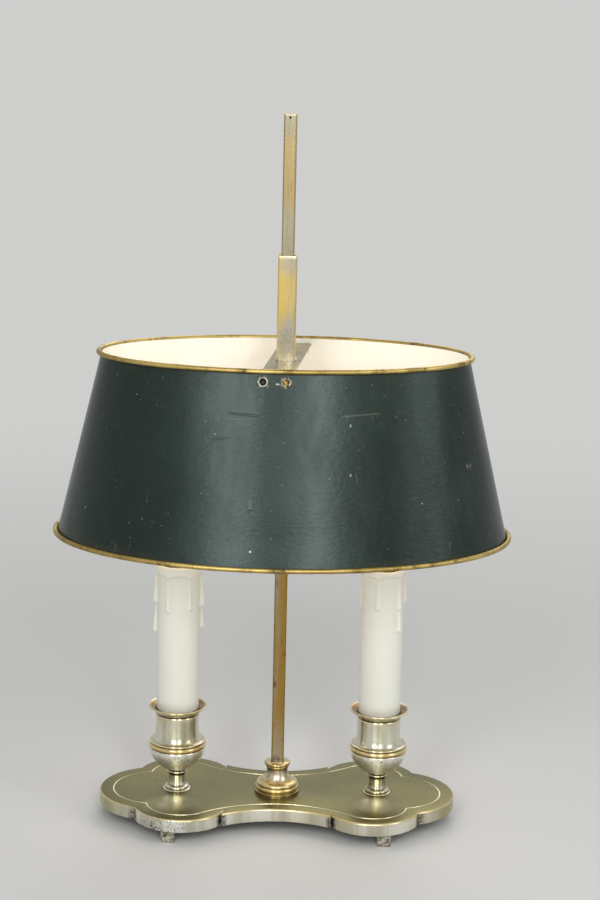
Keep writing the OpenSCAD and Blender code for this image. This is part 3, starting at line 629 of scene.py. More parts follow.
finish = Finish("green_sheet_paint", Metallic=0.0)
flow = finish.grain(60, 4)
rub = finish.grain(25, 6, (1, 1, 1), 0.7).between(0.60, 0.72)
colour = finish.coats((34, 48, 36), (flow, (50, 66, 50)), (rub * 0.6, (120, 116, 100)))
dressed(["underside_cover"], finish.set(height=flow * 0.5 + finish.grain(700, 3) * 0.5,
                                        depth=0.0001, Base_Color=colour,
                                        Roughness=0.45 + flow * 0.25))
dressed(["cord_grommet"], moulded("black_rubber", 900, 3, (22, 22, 22), (44, 43, 41),
                                  0.55, 0.25, 0.0001))


# ---- Collar ----
# A turned brass socket that takes the foot of the rod, gilt where it is least handled. Silver
# solder fills the joint between the rod and its top ring.
def arc_profile(radius, height, size, start, end, steps=6):
    """Points of a turned bead around (radius, height), angles in degrees."""
    turns = [math.radians(start + (end - start) * i / steps) for i in range(steps + 1)]
    return [(radius + size * math.cos(turn), height + size * math.sin(turn)) for turn in turns]


def bowl_profile(radius, height, width, rise, slant=0.35, steps=20):
    """The side of a bowl: it starts at a slant, less so for a small share, and ends upright."""
    turns = [math.radians(90 * i / steps) for i in range(steps + 1)]
    return [(radius + width * math.sin(turn), height + rise * (
        (1 - slant) * (1 - math.cos(turn)) + slant * math.sin(turn))) for turn in turns]


def hollow_profile(radius, height, width, rise, steps=8):
    """A hollow quarter that starts level and ends upright, further in."""
    turns = [math.radians(90 * i / steps) for i in range(steps + 1)]
    return [(radius - width * math.sin(turn), height + rise * (1 - math.cos(turn)))
            for turn in turns]


def steps_from(radius, height, *offsets):
    """Points of a profile by how far out and up each is from one corner."""
    return [(radius + out, height + rise) for out, rise in offsets]


def mark_turned_edges(piece, profile, steps):
    """Paints how much each turned ring stands proud or sinks in. The finishes paint shade into the
    hollows, and lighten the ridges where polishing has worn the plate.
    """
    values = []
    for k, (radius, height) in enumerate(profile):
        bend = 0
        if 0 < k < len(profile) - 1:
            ax, ay = radius - profile[k - 1][0], height - profile[k - 1][1]
            bx, by = profile[k + 1][0] - radius, profile[k + 1][1] - height
            bend = math.atan2(ax * by - ay * bx, ax * bx + ay * by)
        values += [min(max(bend * 2.0, -1.0), 1.0)] * (steps if radius else 1)
    painted(piece.data, "edge", values)


collar_low, collar_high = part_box("stem_collar")
collar_radius = (collar_high.x - collar_low.x) / 2 / MM
collar_height = (collar_high.z - collar_low.z) / MM
neck_radius, ring_radius, turned_steps = 6.7, 8.4, 96
ring_low = collar_height - 3.4
profile = [(0, 0)] + steps_from(collar_radius, 0, (-0.75, 0), (-0.4, 0.15), (-0.4, 0.8))
profile += arc_profile(collar_radius - 1.8, 3.05, 1.75, -75, 75, 12)
profile += steps_from(collar_radius, 0, (-1.35, 5.05), (-1.1, 5.3), (-1.05, 5.9), (-1.3, 6.35),
                      (-1.8, 6.7))
profile += hollow_profile(collar_radius - 2.1, 6.95, collar_radius - 2.1 - neck_radius,
                          ring_low - 9, 14)
profile += [(neck_radius, ring_low - 1), (neck_radius + 0.15, ring_low - 0.4),
            (ring_radius - 1.0, ring_low + 0.05)]
profile += arc_profile(ring_radius - 1.3, ring_low + 0.7, 0.5, -50, 70, 6)
profile += arc_profile(ring_radius - 1, ring_low + 2.4, 1, -80, 80, 10) + [(0, collar_height)]
profile = steps_from(0, collar_low.z / MM, *profile)
collar = lathe("collar", profile, turned_steps, None, smooth=50)
mark_turned_edges(collar, profile, turned_steps)

finish = Finish("gilt_brass", Metallic=1.0, Anisotropic=0.5, Anisotropic_Rotation=0.25)
cloud = finish.grain(60, 4)
film = finish.grain(220, 5, (1, 1, 0.3), 0.6)
proud = finish.mark("edge")
foot_z, head_z = collar_low.z, collar_high.z
silvered = finish.z.within(foot_z + 0.0074, foot_z + 0.0094, head_z - 0.0046, head_z - 0.0036)
line = finish.z.within(foot_z + 0.0051, foot_z + 0.0053, foot_z + 0.0064, foot_z + 0.0067)
colour = finish.coats(
    (220, 194, 132), (cloud.between(0.35, 0.68), (206, 186, 140)),
    (silvered * 0.8 + line * 0.7, (214, 208, 188)),
    (finish.z.between(head_z - 0.0036, head_z - 0.0026) * 0.6, (176, 146, 84)),
    (film.between(0.50, 0.74) * 0.7, (140, 112, 62)),
    # painted shade in the grooves
    (proud.between(-0.1, -0.8) * 0.85, (84, 66, 34)),
    (proud.between(0.35, 0.9) * 0.5, (238, 226, 184)))
collar.data.materials.append(finish.set(height=film * 0.6 + cloud * 0.4, depth=0.00010,
                                        Base_Color=colour, Roughness=0.22 + film * 0.16))
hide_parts("stem_collar")
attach(collar, "base")

finish = Finish("silver_solder", Metallic=1.0)
lumps = finish.grain(500, 4)
colour = finish.blend(lumps.between(0.35, 0.65), (236, 236, 230), (190, 186, 170))
solder = finish.set(height=lumps, depth=0.0002, Base_Color=colour, Roughness=0.3 + lumps * 0.2)


def solder_bead(name, half, height, reach, rise, body):
    """A thin uneven fillet of silver solder round a square bar."""
    sides, count, overlap, points = 6, 40, 0.1, []
    for i in range(count):
        angle = math.radians(45 + 9 * i)
        x, y = math.cos(angle), math.sin(angle)
        wave = 0.75 + 0.5 * noise.noise(Vector((x, y, 0)) * 2.3 + Vector((height, 0, 0)))
        for k in range(sides):
            spin = math.radians(360 * k / sides)
            out = half / max(abs(x), abs(y)) - overlap + reach * 0.5 * wave * (1 + math.cos(spin))
            lift = rise * 0.5 * wave * (1 + math.sin(spin)) - overlap
            points.append((x * out * MM, y * out * MM, (height + lift) * MM))
    bead = outward(made(name, points, rings_to_faces(count, sides, True), [solder], 80))
    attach(bead, body)


rod_low, rod_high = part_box("stem_rod")
rod_half, rod_top = (rod_high.x - rod_low.x) / 2 / MM, rod_high.z / MM
solder_bead("solder_at_collar", rod_half, collar_high.z / MM, 1.1, 0.7, "base")


# ---- Rod ----
# A square brass bar, once silvered: the plate is rubbed through to ochre brass in streaks along
# it and holds best near the top. Below the shade its colours are painted darker, as the shade's
# shadow, fading out near its foot. A small blind hole near its top end is painted as a dark spot,
# painted shade in the hole, with a dent in the bump.
def worn_edges(finish, streaks, half, width):
    """1 along the edges of a square bar, where its plate is rubbed off unevenly."""
    nearer_edge = finish.maths("MINIMUM", abs(finish.x), abs(finish.y))
    return (nearer_edge + (streaks - 0.5) * 0.0012).between((half - width) * MM, (half - 0.5) * MM)


bar_corner, corner_steps, rod_foot, rod_steps, worn_away = 1.3, 6, 30, 40, 0.00006
hole_drop, hole_radius = 2.2, 0.5
finish = Finish("rubbed_plate", Metallic=1.0)
streaks = finish.grain(90, 5, (1, 1, 0.035), 0.6)
fine = finish.grain(420, 4, (1, 1, 0.05), 0.6)
patches = finish.grain(24, 4, (1, 1, 0.35))
grit = finish.grain(1400, 3, (1, 1, 0.6), 0.6)
strip = worn_edges(finish, streaks, rod_half, 1.0)
# painted shadow of the shade on the rod; it also bounds the worn gold side and the rust below it
shade_shadow_and_low_wear = finish.z.below(0.19, 0.31) * finish.z.between(0.034, 0.078, 0.25, 1.0)
ochre = finish.coats((194, 166, 104), (shade_shadow_and_low_wear, (154, 120, 42)),
                     (fine.between(0.35, 0.65) * 0.5, (172, 134, 66)))
silver = finish.coats(
    (184, 176, 152), (patches.between(0.35, 0.65), (162, 152, 124)),
    (grit.between(0.35, 0.65) * 0.35, (150, 146, 128)),
    (shade_shadow_and_low_wear * 0.6, (160, 146, 118)))
rubbed_through = finish.z.within(0.388, 0.402, 0.434, 0.444) \
    * (streaks * 0.6 + fine * 0.4).between(0.30, 0.46) \
    * abs(finish.x).between(0.35 * rod_half * MM, 0.8 * rod_half * MM, 1.0, 0.2)
bare_side = (finish.x + (fine - 0.5) * 0.016 + (patches - 0.5) * 0.010).between(
    -1.0 * rod_half * MM, 0.3 * rod_half * MM, 0.30, 0.95)
rust = finish.grain(300, 4, (1, 1, 0.35), 0.6).between(0.60, 0.68) * shade_shadow_and_low_wear
smudge = finish.z.below(collar_high.z + 0.001, collar_high.z + 0.007) \
    * finish.grain(260, 4).between(0.40, 0.56)
# painted shade: the blind hole drawn as a dark spot
pin_hole_shade = finish.near((-0.2, -rod_half, rod_top - hole_drop), hole_radius, hole_radius + 0.3)
colour = finish.coats(
    silver,
    (strip * 0.7 + rubbed_through * 0.95 + (streaks * 0.5 + patches * 0.5).between(0.56, 0.68) * 0.4
     + shade_shadow_and_low_wear * bare_side, ochre),
    (rust * 0.8, (124, 70, 34)),
    (finish.grain(150, 5, (1, 1, 0.2), 0.65).between(0.58, 0.76) * 0.7, (104, 84, 48)),
    (smudge * 0.7, (70, 64, 54)),
    (pin_hole_shade, (30, 24, 16)))
rubbed_plate = finish.set(height=streaks * 0.5 + fine * 0.3 + patches * 0.4 + grit * 0.3 - pin_hole_shade,
                          depth=0.00018, Base_Color=colour,
                          Roughness=0.26 + fine * 0.14 + pin_hole_shade * 0.4)
heights = [(rod_foot + (rod_top - rod_foot - 1) * k / rod_steps, rod_half)
           for k in range(rod_steps + 1)]
heights += [(rod_top - 0.6, rod_half), (rod_top - 0.2, rod_half - 0.1), (rod_top, rod_half - 0.45)]
points, count = square_rings(heights, bar_corner, corner_steps)
rod = outward(made("square_rod", points, capped(len(heights), count), [rubbed_plate], 40))
for vertex in rod.data.vertices:
    flat_way = Vector((vertex.co.x, vertex.co.y, 0)).normalized()
    vertex.co -= flat_way * (worn_away + noise.noise(vertex.co * 35) * worn_away)
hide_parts("stem_rod")
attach(rod, "base")


# ---- Cups ----
# Two turned urn-shaped cups of plated brass. Each stands on a stem with a ringed foot, and is
# held down by the tie tube that runs up through it. Gilding stays in the grooves, and shade is
# painted into them; the bowl carries a painted sheen and the neck painted dark reflections.
pedestal, pedestal_foot, cup_width, cup_neck = 5.3, 9.0, 18.5, 13.9
knob, bowl_low, cup_steps = pedestal + 1.3, 13.6, 120
cup_low, cup_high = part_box("left_cup")
finish = Finish("turned_silver_plate", Metallic=1.0, Anisotropic=0.8, Anisotropic_Rotation=0.25)
proud = finish.mark("edge")
haze = finish.grain(55, 5, (1, 1, 0.5), 0.6)
rings = finish.grain(900, 2, (0.05, 0.05, 1))
cloud = finish.grain(26, 4)
streaks = finish.grain(80, 5, (1, 1, 0.05), 0.65)


def band(low, high, soft=0.35):
    """1 between two heights above the plate in millimetres, with soft edges."""
    return finish.z.within(*(cup_low.z + edge * MM for edge in (
        low - soft, low + soft, high - soft, high + soft)))


gilt = band(29.0, 32.4) + band(33.0, 34.0) * 0.6 + band(0.7, 2.7) * 0.3 + band(11.4, 13.2) * 0.3 \
    + band(13.8, 20.0, 1.8) * 0.3 + band(49.5, 51.6) * 0.4
pits = finish.grain(640, 4, (1, 1, 1.6), 0.7).between(0.57, 0.62) * band(22, 29, 2.5)
colour = finish.coats(
    (228, 227, 208), (cloud.between(0.42, 0.66), (212, 207, 178)),
    # painted sheen: the bowl painted near white; painted reflection: dark upright streaks on the
    # neck
    (band(14.5, 28.6, 1.5) * 0.75, (252, 251, 244)),
    (streaks.between(0.48, 0.66) * band(34, 50, 2) * 0.55, (156, 146, 102)),
    (gilt * (cloud + 0.45).between(0.6, 1.1, 0.6, 1.0), (226, 200, 140)),
    (haze.between(0.54, 0.76) * 0.7, (150, 132, 88)),
    # painted shade in the grooves
    (proud.between(-0.08, -0.7), (70, 60, 34)),
    (proud.between(0.4, 0.95) * 0.55, (240, 232, 204)),
    (pits * 0.85, (44, 38, 22)))
turned_plate = finish.set(height=rings * 0.15 + haze * 0.4 + cloud * 0.4 - pits * 0.5,
                          depth=0.00012, Base_Color=colour, Roughness=0.22 + haze * 0.12
                          + pits * 0.2 + band(13, 28, 3) * 0.10)
cup_rise = (cup_high.z - cup_low.z) / MM
ring_low, ring_high = cup_rise - 24.8, cup_rise - 20
profile = [(0, 0)]
profile += steps_from(pedestal_foot, 0, (-0.2, 0), (-0.05, 0.2), (-0.3, 0.5), (-1.2, 0.65))
profile += arc_profile(pedestal_foot - 2.1, 1.7, 0.95, -66, 70, 8)
profile += steps_from(pedestal_foot, 0, (-2.2, 2.75), (-2.5, 3.0))
profile += hollow_profile(pedestal_foot - 2.7, 3.1, pedestal_foot - 2.7 - pedestal, 3.8)
profile += steps_from(pedestal, 0, (0, 9.6), (0.15, 10.8), (0.5, 11.4))
profile += arc_profile(knob - 0.65, 12.25, 0.64, -80, 80, 8) + [(knob - 0.55, 13.05)]
profile += bowl_profile(knob - 0.3, bowl_low, cup_width - knob - 0.1, ring_low - bowl_low - 0.9)
profile += steps_from(cup_width, ring_low, (-0.45, -0.3), (-0.8, -0.05), (-0.95, 0.15))
profile += arc_profile(cup_width - 1.5, ring_low + 1.65, 1.5, -58, 58, 10)
profile += steps_from(cup_width, ring_low, (-1.05, 3.15), (-1.1, 3.5), (-0.75, 3.75), (-0.6, 4.0))
profile += steps_from(cup_width, ring_high, (-0.6, -0.25), (-0.75, -0.05))
profile += hollow_profile(cup_width - 1.1, ring_high, cup_width - 1.1 - cup_neck - 0.3, 5, 14)
profile += steps_from(cup_neck, ring_high, (0.12, 6.5), (0, 8.5), (-0.1, 12))
profile += steps_from(cup_neck, cup_rise, (-0.06, -5), (0.02, -3.2), (-0.05, -2.8), (-0.3, -2.5),
                      (-0.3, -2.1), (-0.05, -1.6), (0.4, -1.0), (0.95, -0.4), (1.35, 0))
profile = steps_from(0, cup_low.z / MM, *profile, (0, cup_rise))
for name, node in (("urn_left", "left_cup"), ("urn_right", "right_cup")):
    urn = lathe(name, profile, cup_steps, turned_plate, middle_of(node).xy, 50)
    mark_turned_edges(urn, profile, cup_steps)
    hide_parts(node)
    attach(urn, "base")


# ---- Drip pans ----
# A thin spun ring on top of each cup, flared and a little out of true, with a worn golden lip.
seat_radius, pan_bore, floor_rise, warp, droop = 13.8, 4.2, 1.1, 0.2, 0.12
finish = Finish("worn_pan_plate", Metallic=1.0, Anisotropic=0.5, Anisotropic_Rotation=0.25)
proud = finish.mark("edge")
haze = finish.grain(80, 5, (1, 1, 0.6), 0.6)
cloud = finish.grain(34, 4)
colour = finish.coats(
    (212, 206, 184), (cloud.between(0.40, 0.62), (206, 186, 138)),
    (haze.between(0.50, 0.72) * 0.7, (142, 118, 70)),
    # painted shade and reflection: the inside of the pan painted brown, and its grooves dark
    (finish.mark("inside") * cloud.between(0.30, 0.60, 0.6, 0.95), (136, 102, 60)),
    (proud.between(-0.1, -0.8) * 0.9, (76, 64, 34)),
    (proud.between(0.3, 0.9) * 0.6, (236, 222, 178)))
pan_plate = finish.set(height=haze * 0.5 + cloud * 0.5, depth=0.00015, Base_Color=colour,
                       Roughness=0.20 + haze * 0.16)
for name, node, seed in (("pan_left", "left_drip_pan", 1.7), ("pan_right", "right_drip_pan", 6.2)):
    low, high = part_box(node)
    centre = middle_of(node).xy
    pan_rise, pan_radius = (high.z - low.z) / MM, (high.x - low.x) / 2 / MM
    bead = seat_radius + 1.5
    profile = [(pan_bore, 0.02), (bead - 0.1, 0.02)]
    profile += arc_profile(bead, 0.95, 0.84, -72, 70, 8)
    profile += steps_from(bead, 0, (0.2, 1.95), (0.45, 2.05), (1.2, 2.1))
    profile += [(pan_radius - 1.3, 2.2)]
    profile += arc_profile(pan_radius - 0.5, pan_rise - 0.6, 0.48, -60, 110, 8)
    profile += [(pan_radius - 1.1, pan_rise - 0.25)]
    lip_points = len(profile) * cup_steps
    profile += steps_from(pan_radius, pan_rise, (-1.7, -0.5), (-2.5, -0.8))
    profile += steps_from(seat_radius, floor_rise, (1.0, 0.75), (0.3, 0.25), (0, 0))
    profile = steps_from(0, low.z / MM, *profile, (pan_bore, floor_rise))
    pan = lathe(name, profile, cup_steps, pan_plate, centre, 50, closed=True)
    mark_turned_edges(pan, profile, cup_steps)
    painted(pan.data, "inside", [float(k >= lip_points) for k in range(len(pan.data.vertices))])
    for vertex in pan.data.vertices:
        away = (vertex.co.xy - centre).to_3d()
        share = max(0, (away.length / MM - seat_radius - 0.5) / (pan_radius - seat_radius))
        wave = noise.noise(away.normalized() * 1.6 + Vector((seed, 0, 0)))
        vertex.co.z += (wave * warp - droop) * share * MM
        vertex.co -= away.normalized() * (droop + droop * wave) * share * MM
    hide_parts(node)
    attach(pan, "base")


# ---- Candle sleeves ----
# Moulded off-white plastic tubes over the lampholders, with wax runs down from their top edge.
# They are matte, and carry a faint painted glow, brighter near the top; the top of the bore is
# painted with the orange light of the bulbs.
candle_radius, candle_bore, light_x, candle_steps = 13.5, 12.0, 65.0, 168
skin_thick, skin_edge, blunt_end, ridge_rise = 0.85, 0.7, 1.1, 2.8
lip_rounding, lip_inset, foot_chamfer = 1.2, 0.5, 0.25
# the rings lie close together between two depths below the top, where the wax is
wax_end, wax_start, wax_rings, plain_rings, lit_depth = 51, 0.8, 100, 6, 20
# each run: direction in degrees, start and end below the top, half width and thickness; one that
# starts below late_start hangs from another, and makes no arch
late_start = 20
left_runs = ((-118, 8, 29.5, 1.5, 1.3), (-56, 8, 28.5, 1.5, 1.2), (-177, 1, 25.6, 2.4, 3.1),
             (176, 22, 46.0, 2.2, 3.2), (1, 1, 28.3, 2.4, 3.3), (8, 22, 42.9, 2.2, 3.0),
             (45, 7, 31, 1.8, 1.6), (92, 7, 26, 2.0, 1.8), (135, 8, 34, 1.8, 1.6))
right_runs = ((-105, 6, 25.0, 1.8, 1.4), (-42, 6, 25.5, 2.1, 1.7), (-40, 20, 40.0, 1.8, 1.8),
              (177, 1, 27.5, 2.2, 1.4), (-2, 1, 22.5, 2.0, 1.9), (40, 7, 35, 1.8, 1.6),
              (88, 7, 24, 2.0, 1.8), (132, 8, 30, 1.8, 1.6))


def wax_height(angle, drop, runs, arch):
    """How far the wax stands out, in millimetres, at an angle in degrees and a depth below the top:
    a skin with arches in its lower edge, and runs that thicken down to a blunt end where the arches
    meet."""
    aside = sorted((angle - run[0] + 180) % 360 - 180 for run in runs if run[1] < late_start)
    before, after = [a for a in aside if a >= 0], [a for a in aside if a < 0]
    left = min(before) if before else min(aside) + 360
    right = -max(after) if after else 360 - max(aside)
    across = abs(left - right) / max(left + right, 1)
    edge = arch + ridge_rise * (1 - math.sqrt(max(0, 1 - across ** 2)))
    proud = skin_thick * min(1, max(0, (edge - drop) / skin_edge)) ** 0.5
    for direction, start, length, width, tall in runs:
        across = math.radians((angle - direction + 180) % 360 - 180) * candle_radius
        share = max(0, (drop - start) / (length - start))
        half = width * (0.62 + 0.38 * share)
        if share > 1 or abs(across) >= half:
            continue
        blunt = math.sqrt(max(0, 1 - max(0, (drop - length + blunt_end) / blunt_end) ** 2))
        rise = tall * (0.30 + 0.70 * share) * min(1, drop / max(start, 1))
        proud = max(proud, rise * blunt * (1 - (across / half) ** 2) ** 0.6)
    return proud


finish = Finish("candle_plastic", Metallic=0.0, Subsurface_Weight=0.12, Subsurface_Scale=0.003,
                Subsurface_Radius=(1.0, 0.8, 0.6), Emission_Strength=0.11)
flow = finish.grain(24, 3)
dust = finish.grain(520, 5, (1, 1, 1), 0.6)
colour = finish.coats((218, 219, 208), (flow, (224, 224, 214)),
                      (dust.between(0.62, 0.80) * 0.35, (190, 186, 168)),
                      (finish.mark("wax").between(0.1, 1.2) * 0.5, (234, 233, 224)))
# painted glow: faint over the sleeve, more near its top, and orange in the top of the bore
glow = finish.coats((168, 170, 158), (finish.z.between(0.135, 0.172), (214, 208, 192)),
                    (finish.mark("bore"), (255, 170, 70)))
candle_plastic = finish.set(height=dust * 0.3 + flow * 0.7, depth=0.00015, Base_Color=colour,
                            Roughness=0.42 + dust * 0.18, Emission_Color=glow)
for name, node, side, runs, arch, seed in (
        ("candle_left", "left_candle_sleeve", -1, left_runs, 5.8, 2.0),
        ("candle_right", "right_candle_sleeve", 1, right_runs, 3.4, 7.0)):
    low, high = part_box(node)
    top, bottom = high.z / MM, low.z / MM
    heights = [bottom] + [bottom + 0.4 + (top - wax_end - 1 - bottom) * k / plain_rings
                          for k in range(plain_rings + 1)]
    heights += [top - wax_end + (wax_end - wax_start) * k / wax_rings
                for k in range(wax_rings + 1)]
    points, wax = [], []
    for z in heights:
        rounding = max(0, 1 - (top - z) / lip_rounding) ** 2 * lip_inset \
            + (foot_chamfer if z == bottom else 0.0)
        for i in range(candle_steps):
            angle = 360 * i / candle_steps
            wax.append(wax_height(angle, top - z, runs, arch))
            radius = candle_radius + wax[-1] - rounding
            points.append((radius * math.cos(math.radians(angle)),
                           radius * math.sin(math.radians(angle)), z))
    bore = [0.0] * len(wax)
    for radius, z in ((13.3, top - 0.25), (12.9, top - 0.02), (12.4, top - 0.06),
                      (candle_bore, top - 0.6), (candle_bore, top - lit_depth),
                      (candle_bore, bottom + 0.4), (candle_bore + 0.2, bottom)):
        for i in range(candle_steps):
            angle = math.radians(360 * i / candle_steps)
            lip = noise.noise(Vector((math.cos(angle) * 3, math.sin(angle) * 3, seed))) * 0.25
            points.append((radius * math.cos(angle), radius * math.sin(angle),
                           z + ((lip - 0.1) if top - z < 0.5 else 0)))
            wax.append(0.0)
            bore.append(float(radius < candle_bore + 0.6 and top - z < lit_depth + 1))
    candle = outward(made(name, [((side * light_x + x) * MM, y * MM, z * MM) for x, y, z in points],
                          rings_to_faces(len(points) // candle_steps, candle_steps, True),
                          [candle_plastic], 60))
    painted(candle.data, "wax", wax)
    painted(candle.data, "bore", bore)
    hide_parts(node)
    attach(candle, "base")


# ---- Bulbs ----
# Opal candle bulbs, lit: a smooth glass with a pointed top over a plain screw cap.
bulb_neck, belly_share, bulb_rings, bulb_steps = 7.4, 0.34, 44, 72


def bulb_radius_at(share, belly_radius):
    """The glass swells from its neck to its belly, and narrows to a point."""
    if share < belly_share:
        swell = (1 - math.cos(math.pi * share / belly_share)) / 2
        return bulb_neck + (belly_radius - bulb_neck) * swell
    return belly_radius * (1 - ((share - belly_share) / (1 - belly_share)) ** 1.8) ** 0.75


finish = Finish("opal_glass", Metallic=0.0, Emission_Strength=1.5)
body = finish.grain(40, 2)
glow = finish.coats((240, 150, 80), (finish.z.between(0.166, 0.186), (255, 228, 188)),
                    (finish.z.between(0.188, 0.218), (226, 170, 118)))
opal_glass = finish.set(Base_Color=finish.blend(body, (250, 244, 230), (255, 250, 240)),
                        Roughness=0.22 + body * 0.08, Emission_Color=glow)
for name, node in (("bulb_left", "left_bulb_glass"), ("bulb_right", "right_bulb_glass")):
    low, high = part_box(node)
    belly_radius, length = (high.x - low.x) / 2 / MM, (high.z - low.z) / MM
    profile = [(0, 0)] + [(bulb_radius_at(k / bulb_rings, belly_radius), length * k / bulb_rings)
                          for k in range(bulb_rings)] + [(0.5, length - 0.15), (0, length)]
    bulb = lathe(name, steps_from(0, low.z / MM, *profile), bulb_steps, opal_glass,
                 middle_of(node).xy, 60)
    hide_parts(node)
    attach(bulb, "base")


# ---- Lampholders, caps and wiring ----
# Black lampholders stand on steel brackets inside the sleeves, held by nuts on the tie tubes.
# Brown leads run down the tubes and meet in two splices under the plate.
finish = Finish("machined_brass", Metallic=1.0)
turning = finish.grain(300, 3, (0.3, 0.3, 1))
colour = finish.blend(turning.between(0.35, 0.65), (206, 176, 104), (176, 142, 74))
machined = finish.set(height=turning, depth=0.00006, Base_Color=colour,
                      Roughness=0.22 + turning * 0.2)
dressed([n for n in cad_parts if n.endswith(("tie_tube", "socket_shell", "contact"))
         or n in ("tie_tube_nuts", "holder_nuts", "stem_nut")], machined)
dressed([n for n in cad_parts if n.endswith(("bracket", "bulb_cap"))
         or n in ("stem_washer", "tie_tube_washers", "friction_spring")], zinc)
for nodes, skin in (
        (("left_lampholder", "right_lampholder"),
         ("black_moulding", 600, 4, (20, 20, 21), (38, 37, 36), 0.38, 0.25, 0.00012)),
        (("left_lead", "right_lead"),
         ("brown_wire_cover", 300, 4, (84, 50, 30), (112, 72, 46), 0.32, 0.2, 0.00008)),
        (("wire_splices",),
         ("red_splice_cover", 260, 4, (150, 30, 26), (186, 50, 40), 0.30, 0.2, 0.00008))):
    dressed(nodes, moulded(*skin))
finish = Finish("glowing_wire", Metallic=0.0, Emission_Strength=2.0)
heat = finish.grain(200, 2)
dressed(["left_filament", "right_filament"], finish.set(
    Base_Color=finish.blend(heat, (230, 200, 150), (250, 226, 180)),
    Emission_Color=finish.blend(heat, (255, 190, 110), (255, 214, 150)),
    Roughness=0.4 + heat * 0.1))


# ---- Shade ----
# Thin sheet metal rolled to a slanted oval, sprayed dark green-black outside and white inside. It
# has soft dents, rubbed streaks, fine scratches and dust, and its creases are painted darker, as
# shade. The white inside is given a painted glow, brightest towards the bulbs.
shade_low, shade_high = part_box("shade_shell")
shade_bottom, shade_top = shade_low.z / MM, shade_high.z / MM
top_half, bottom_half = (229.4 / 2, 118.0 / 2), (283.6 / 2, 183.4 / 2)
sheet, shade_steps, climbs, rim_hold = 0.6, 288, 44, 8
# each dent: direction in radians, share of the height, its width, its height, depth in millimetres
dents = ((-1.85, 0.82, 0.10, 0.08, 0.35), (-1.35, 0.70, 0.16, 0.12, 0.30),
         (-2.3, 0.35, 0.20, 0.18, 0.4), (-0.75, 0.30, 0.16, 0.15, 0.45),
         (-0.42, 0.55, 0.10, 0.2, 0.30), (2.1, 0.4, 0.22, 0.16, 0.4),
         (0.9, 0.75, 0.18, 0.14, 0.35), (-1.6, 0.16, 0.30, 0.10, 0.3), (3.0, 0.5, 0.1, 0.2, 0.3))


def half_at(share):
    """Half the shade's length and depth: share 0 at the bottom and 1 at the top."""
    return [low + (high - low) * share for low, high in zip(bottom_half, top_half)]


def oval(share, angle, out=0.0, z_lift=0.0):
    """A point on the shade, angle in radians, in metres."""
    a, b = half_at(share)
    across = Vector((b * math.cos(angle), a * math.sin(angle), 0)).normalized()
    point = Vector((a * math.cos(angle), b * math.sin(angle), 0)) + across * out
    point.z = shade_bottom + (shade_top - shade_bottom) * share + z_lift
    return point * MM


def pushed_in(share, angle):
    """How far the sheet is dented inwards, in millimetres; the rims hold its edges true."""
    place = Vector((math.cos(angle) * 1.7, math.sin(angle) * 1.7, share * 1.2))
    depth = 0.10 + 0.10 * noise.noise(place)
    for where, high, wide, tall, deep in dents:
        aside = (angle - where + math.pi) % (2 * math.pi) - math.pi
        depth += deep * math.exp(-(aside / wide) ** 2 - ((share - high) / tall) ** 2)
    return depth * min(1, share * rim_hold) * min(1, (1 - share) * rim_hold)


points = []
for thickness, climb in ((0, range(climbs + 1)), (sheet, reversed(range(climbs + 1)))):
    for share in (k / climbs for k in climb):
        for angle in (2 * math.pi * i / shade_steps for i in range(shade_steps)):
            points.append(oval(share, angle, -pushed_in(share, angle) - thickness))

finish = Finish("white_inner_paint", Metallic=0.0, Emission_Strength=0.22)
flow = finish.grain(14, 4)
soot = finish.grain(60, 5, (1, 1, 0.4), 0.6)
colour = finish.coats((232, 229, 216), (flow, (240, 237, 226)),
                      (soot.between(0.58, 0.78) * 0.35, (206, 196, 168)))
# painted glow: the white inside glows, brighter towards the bulbs at both ends
glow = finish.blend(abs(finish.x).between(0.010, 0.075, 0.55, 1.0), (0, 0, 0), (255, 247, 234))
inner_paint_with_glow = finish.set(height=flow * 0.5 + soot * 0.5, depth=0.0002, Base_Color=colour,
                         Roughness=0.5 + soot * 0.15, Emission_Color=glow)

paint = Finish("green_black_paint", Metallic=0.0, Specular_IOR_Level=0.40,
               Specular_Tint=(0.80, 1.0, 0.97, 1.0))
on_front = paint.y.below(-0.001, 0.001)


def near_paint(x, z, full, none, stretch=(1, 1, 1)):
    """1 at a spot on the front of the shade, fading to 0 further out, in millimetres."""
    spot = paint.add("ShaderNodeMapping", {}, {0: paint.place, 1: tuple(-c * s * MM for c, s in zip(
        (x, 0, z), stretch)), 3: (stretch[0], 0, stretch[2])})
    return paint.vector("LENGTH", spot.outputs[0]).below(full * MM, none * MM) * on_front


def line_on_paint(x, z, length, rise, half):
    """1 along a fine line on the front: its middle, length and half width in millimetres, and how
    much it rises along its length."""
    along = paint.x - x * MM
    off = abs(paint.z - z * MM - along * rise)
    ends = abs(along).below(length * 0.3 * MM, length * 0.5 * MM)
    return off.below(half * 0.4 * MM, half * MM) * ends * on_front


cloud = paint.grain(12, 4, (1, 1, 0.6))
rubbed_marks = paint.grain(30, 6, (1, 1, 0.12), 0.65)
level_marks = paint.grain(60, 5, (0.25, 0.25, 1), 0.65)
scratch = paint.grain(340, 3, (0.12, 0.12, 1), 0.7).between(0.66, 0.74)
tall_scratch = paint.grain(260, 2, (1, 1, 0.03), 0.5).between(0.70, 0.78)
fine_dust = paint.grain(900, 4, (1, 1, 1), 0.7).between(0.56, 0.70)
handled = paint.grain(44, 5, (1, 1, 0.25), 0.7).between(0.36, 0.76)
skin = paint.grain(520, 3, (0.4, 0.4, 1), 0.6)
dust = paint.specks(170, 0.085)
near_rim = paint.z.between(shade_high.z - 0.012, shade_high.z) \
    + paint.z.below(shade_low.z, shade_low.z + 0.006)
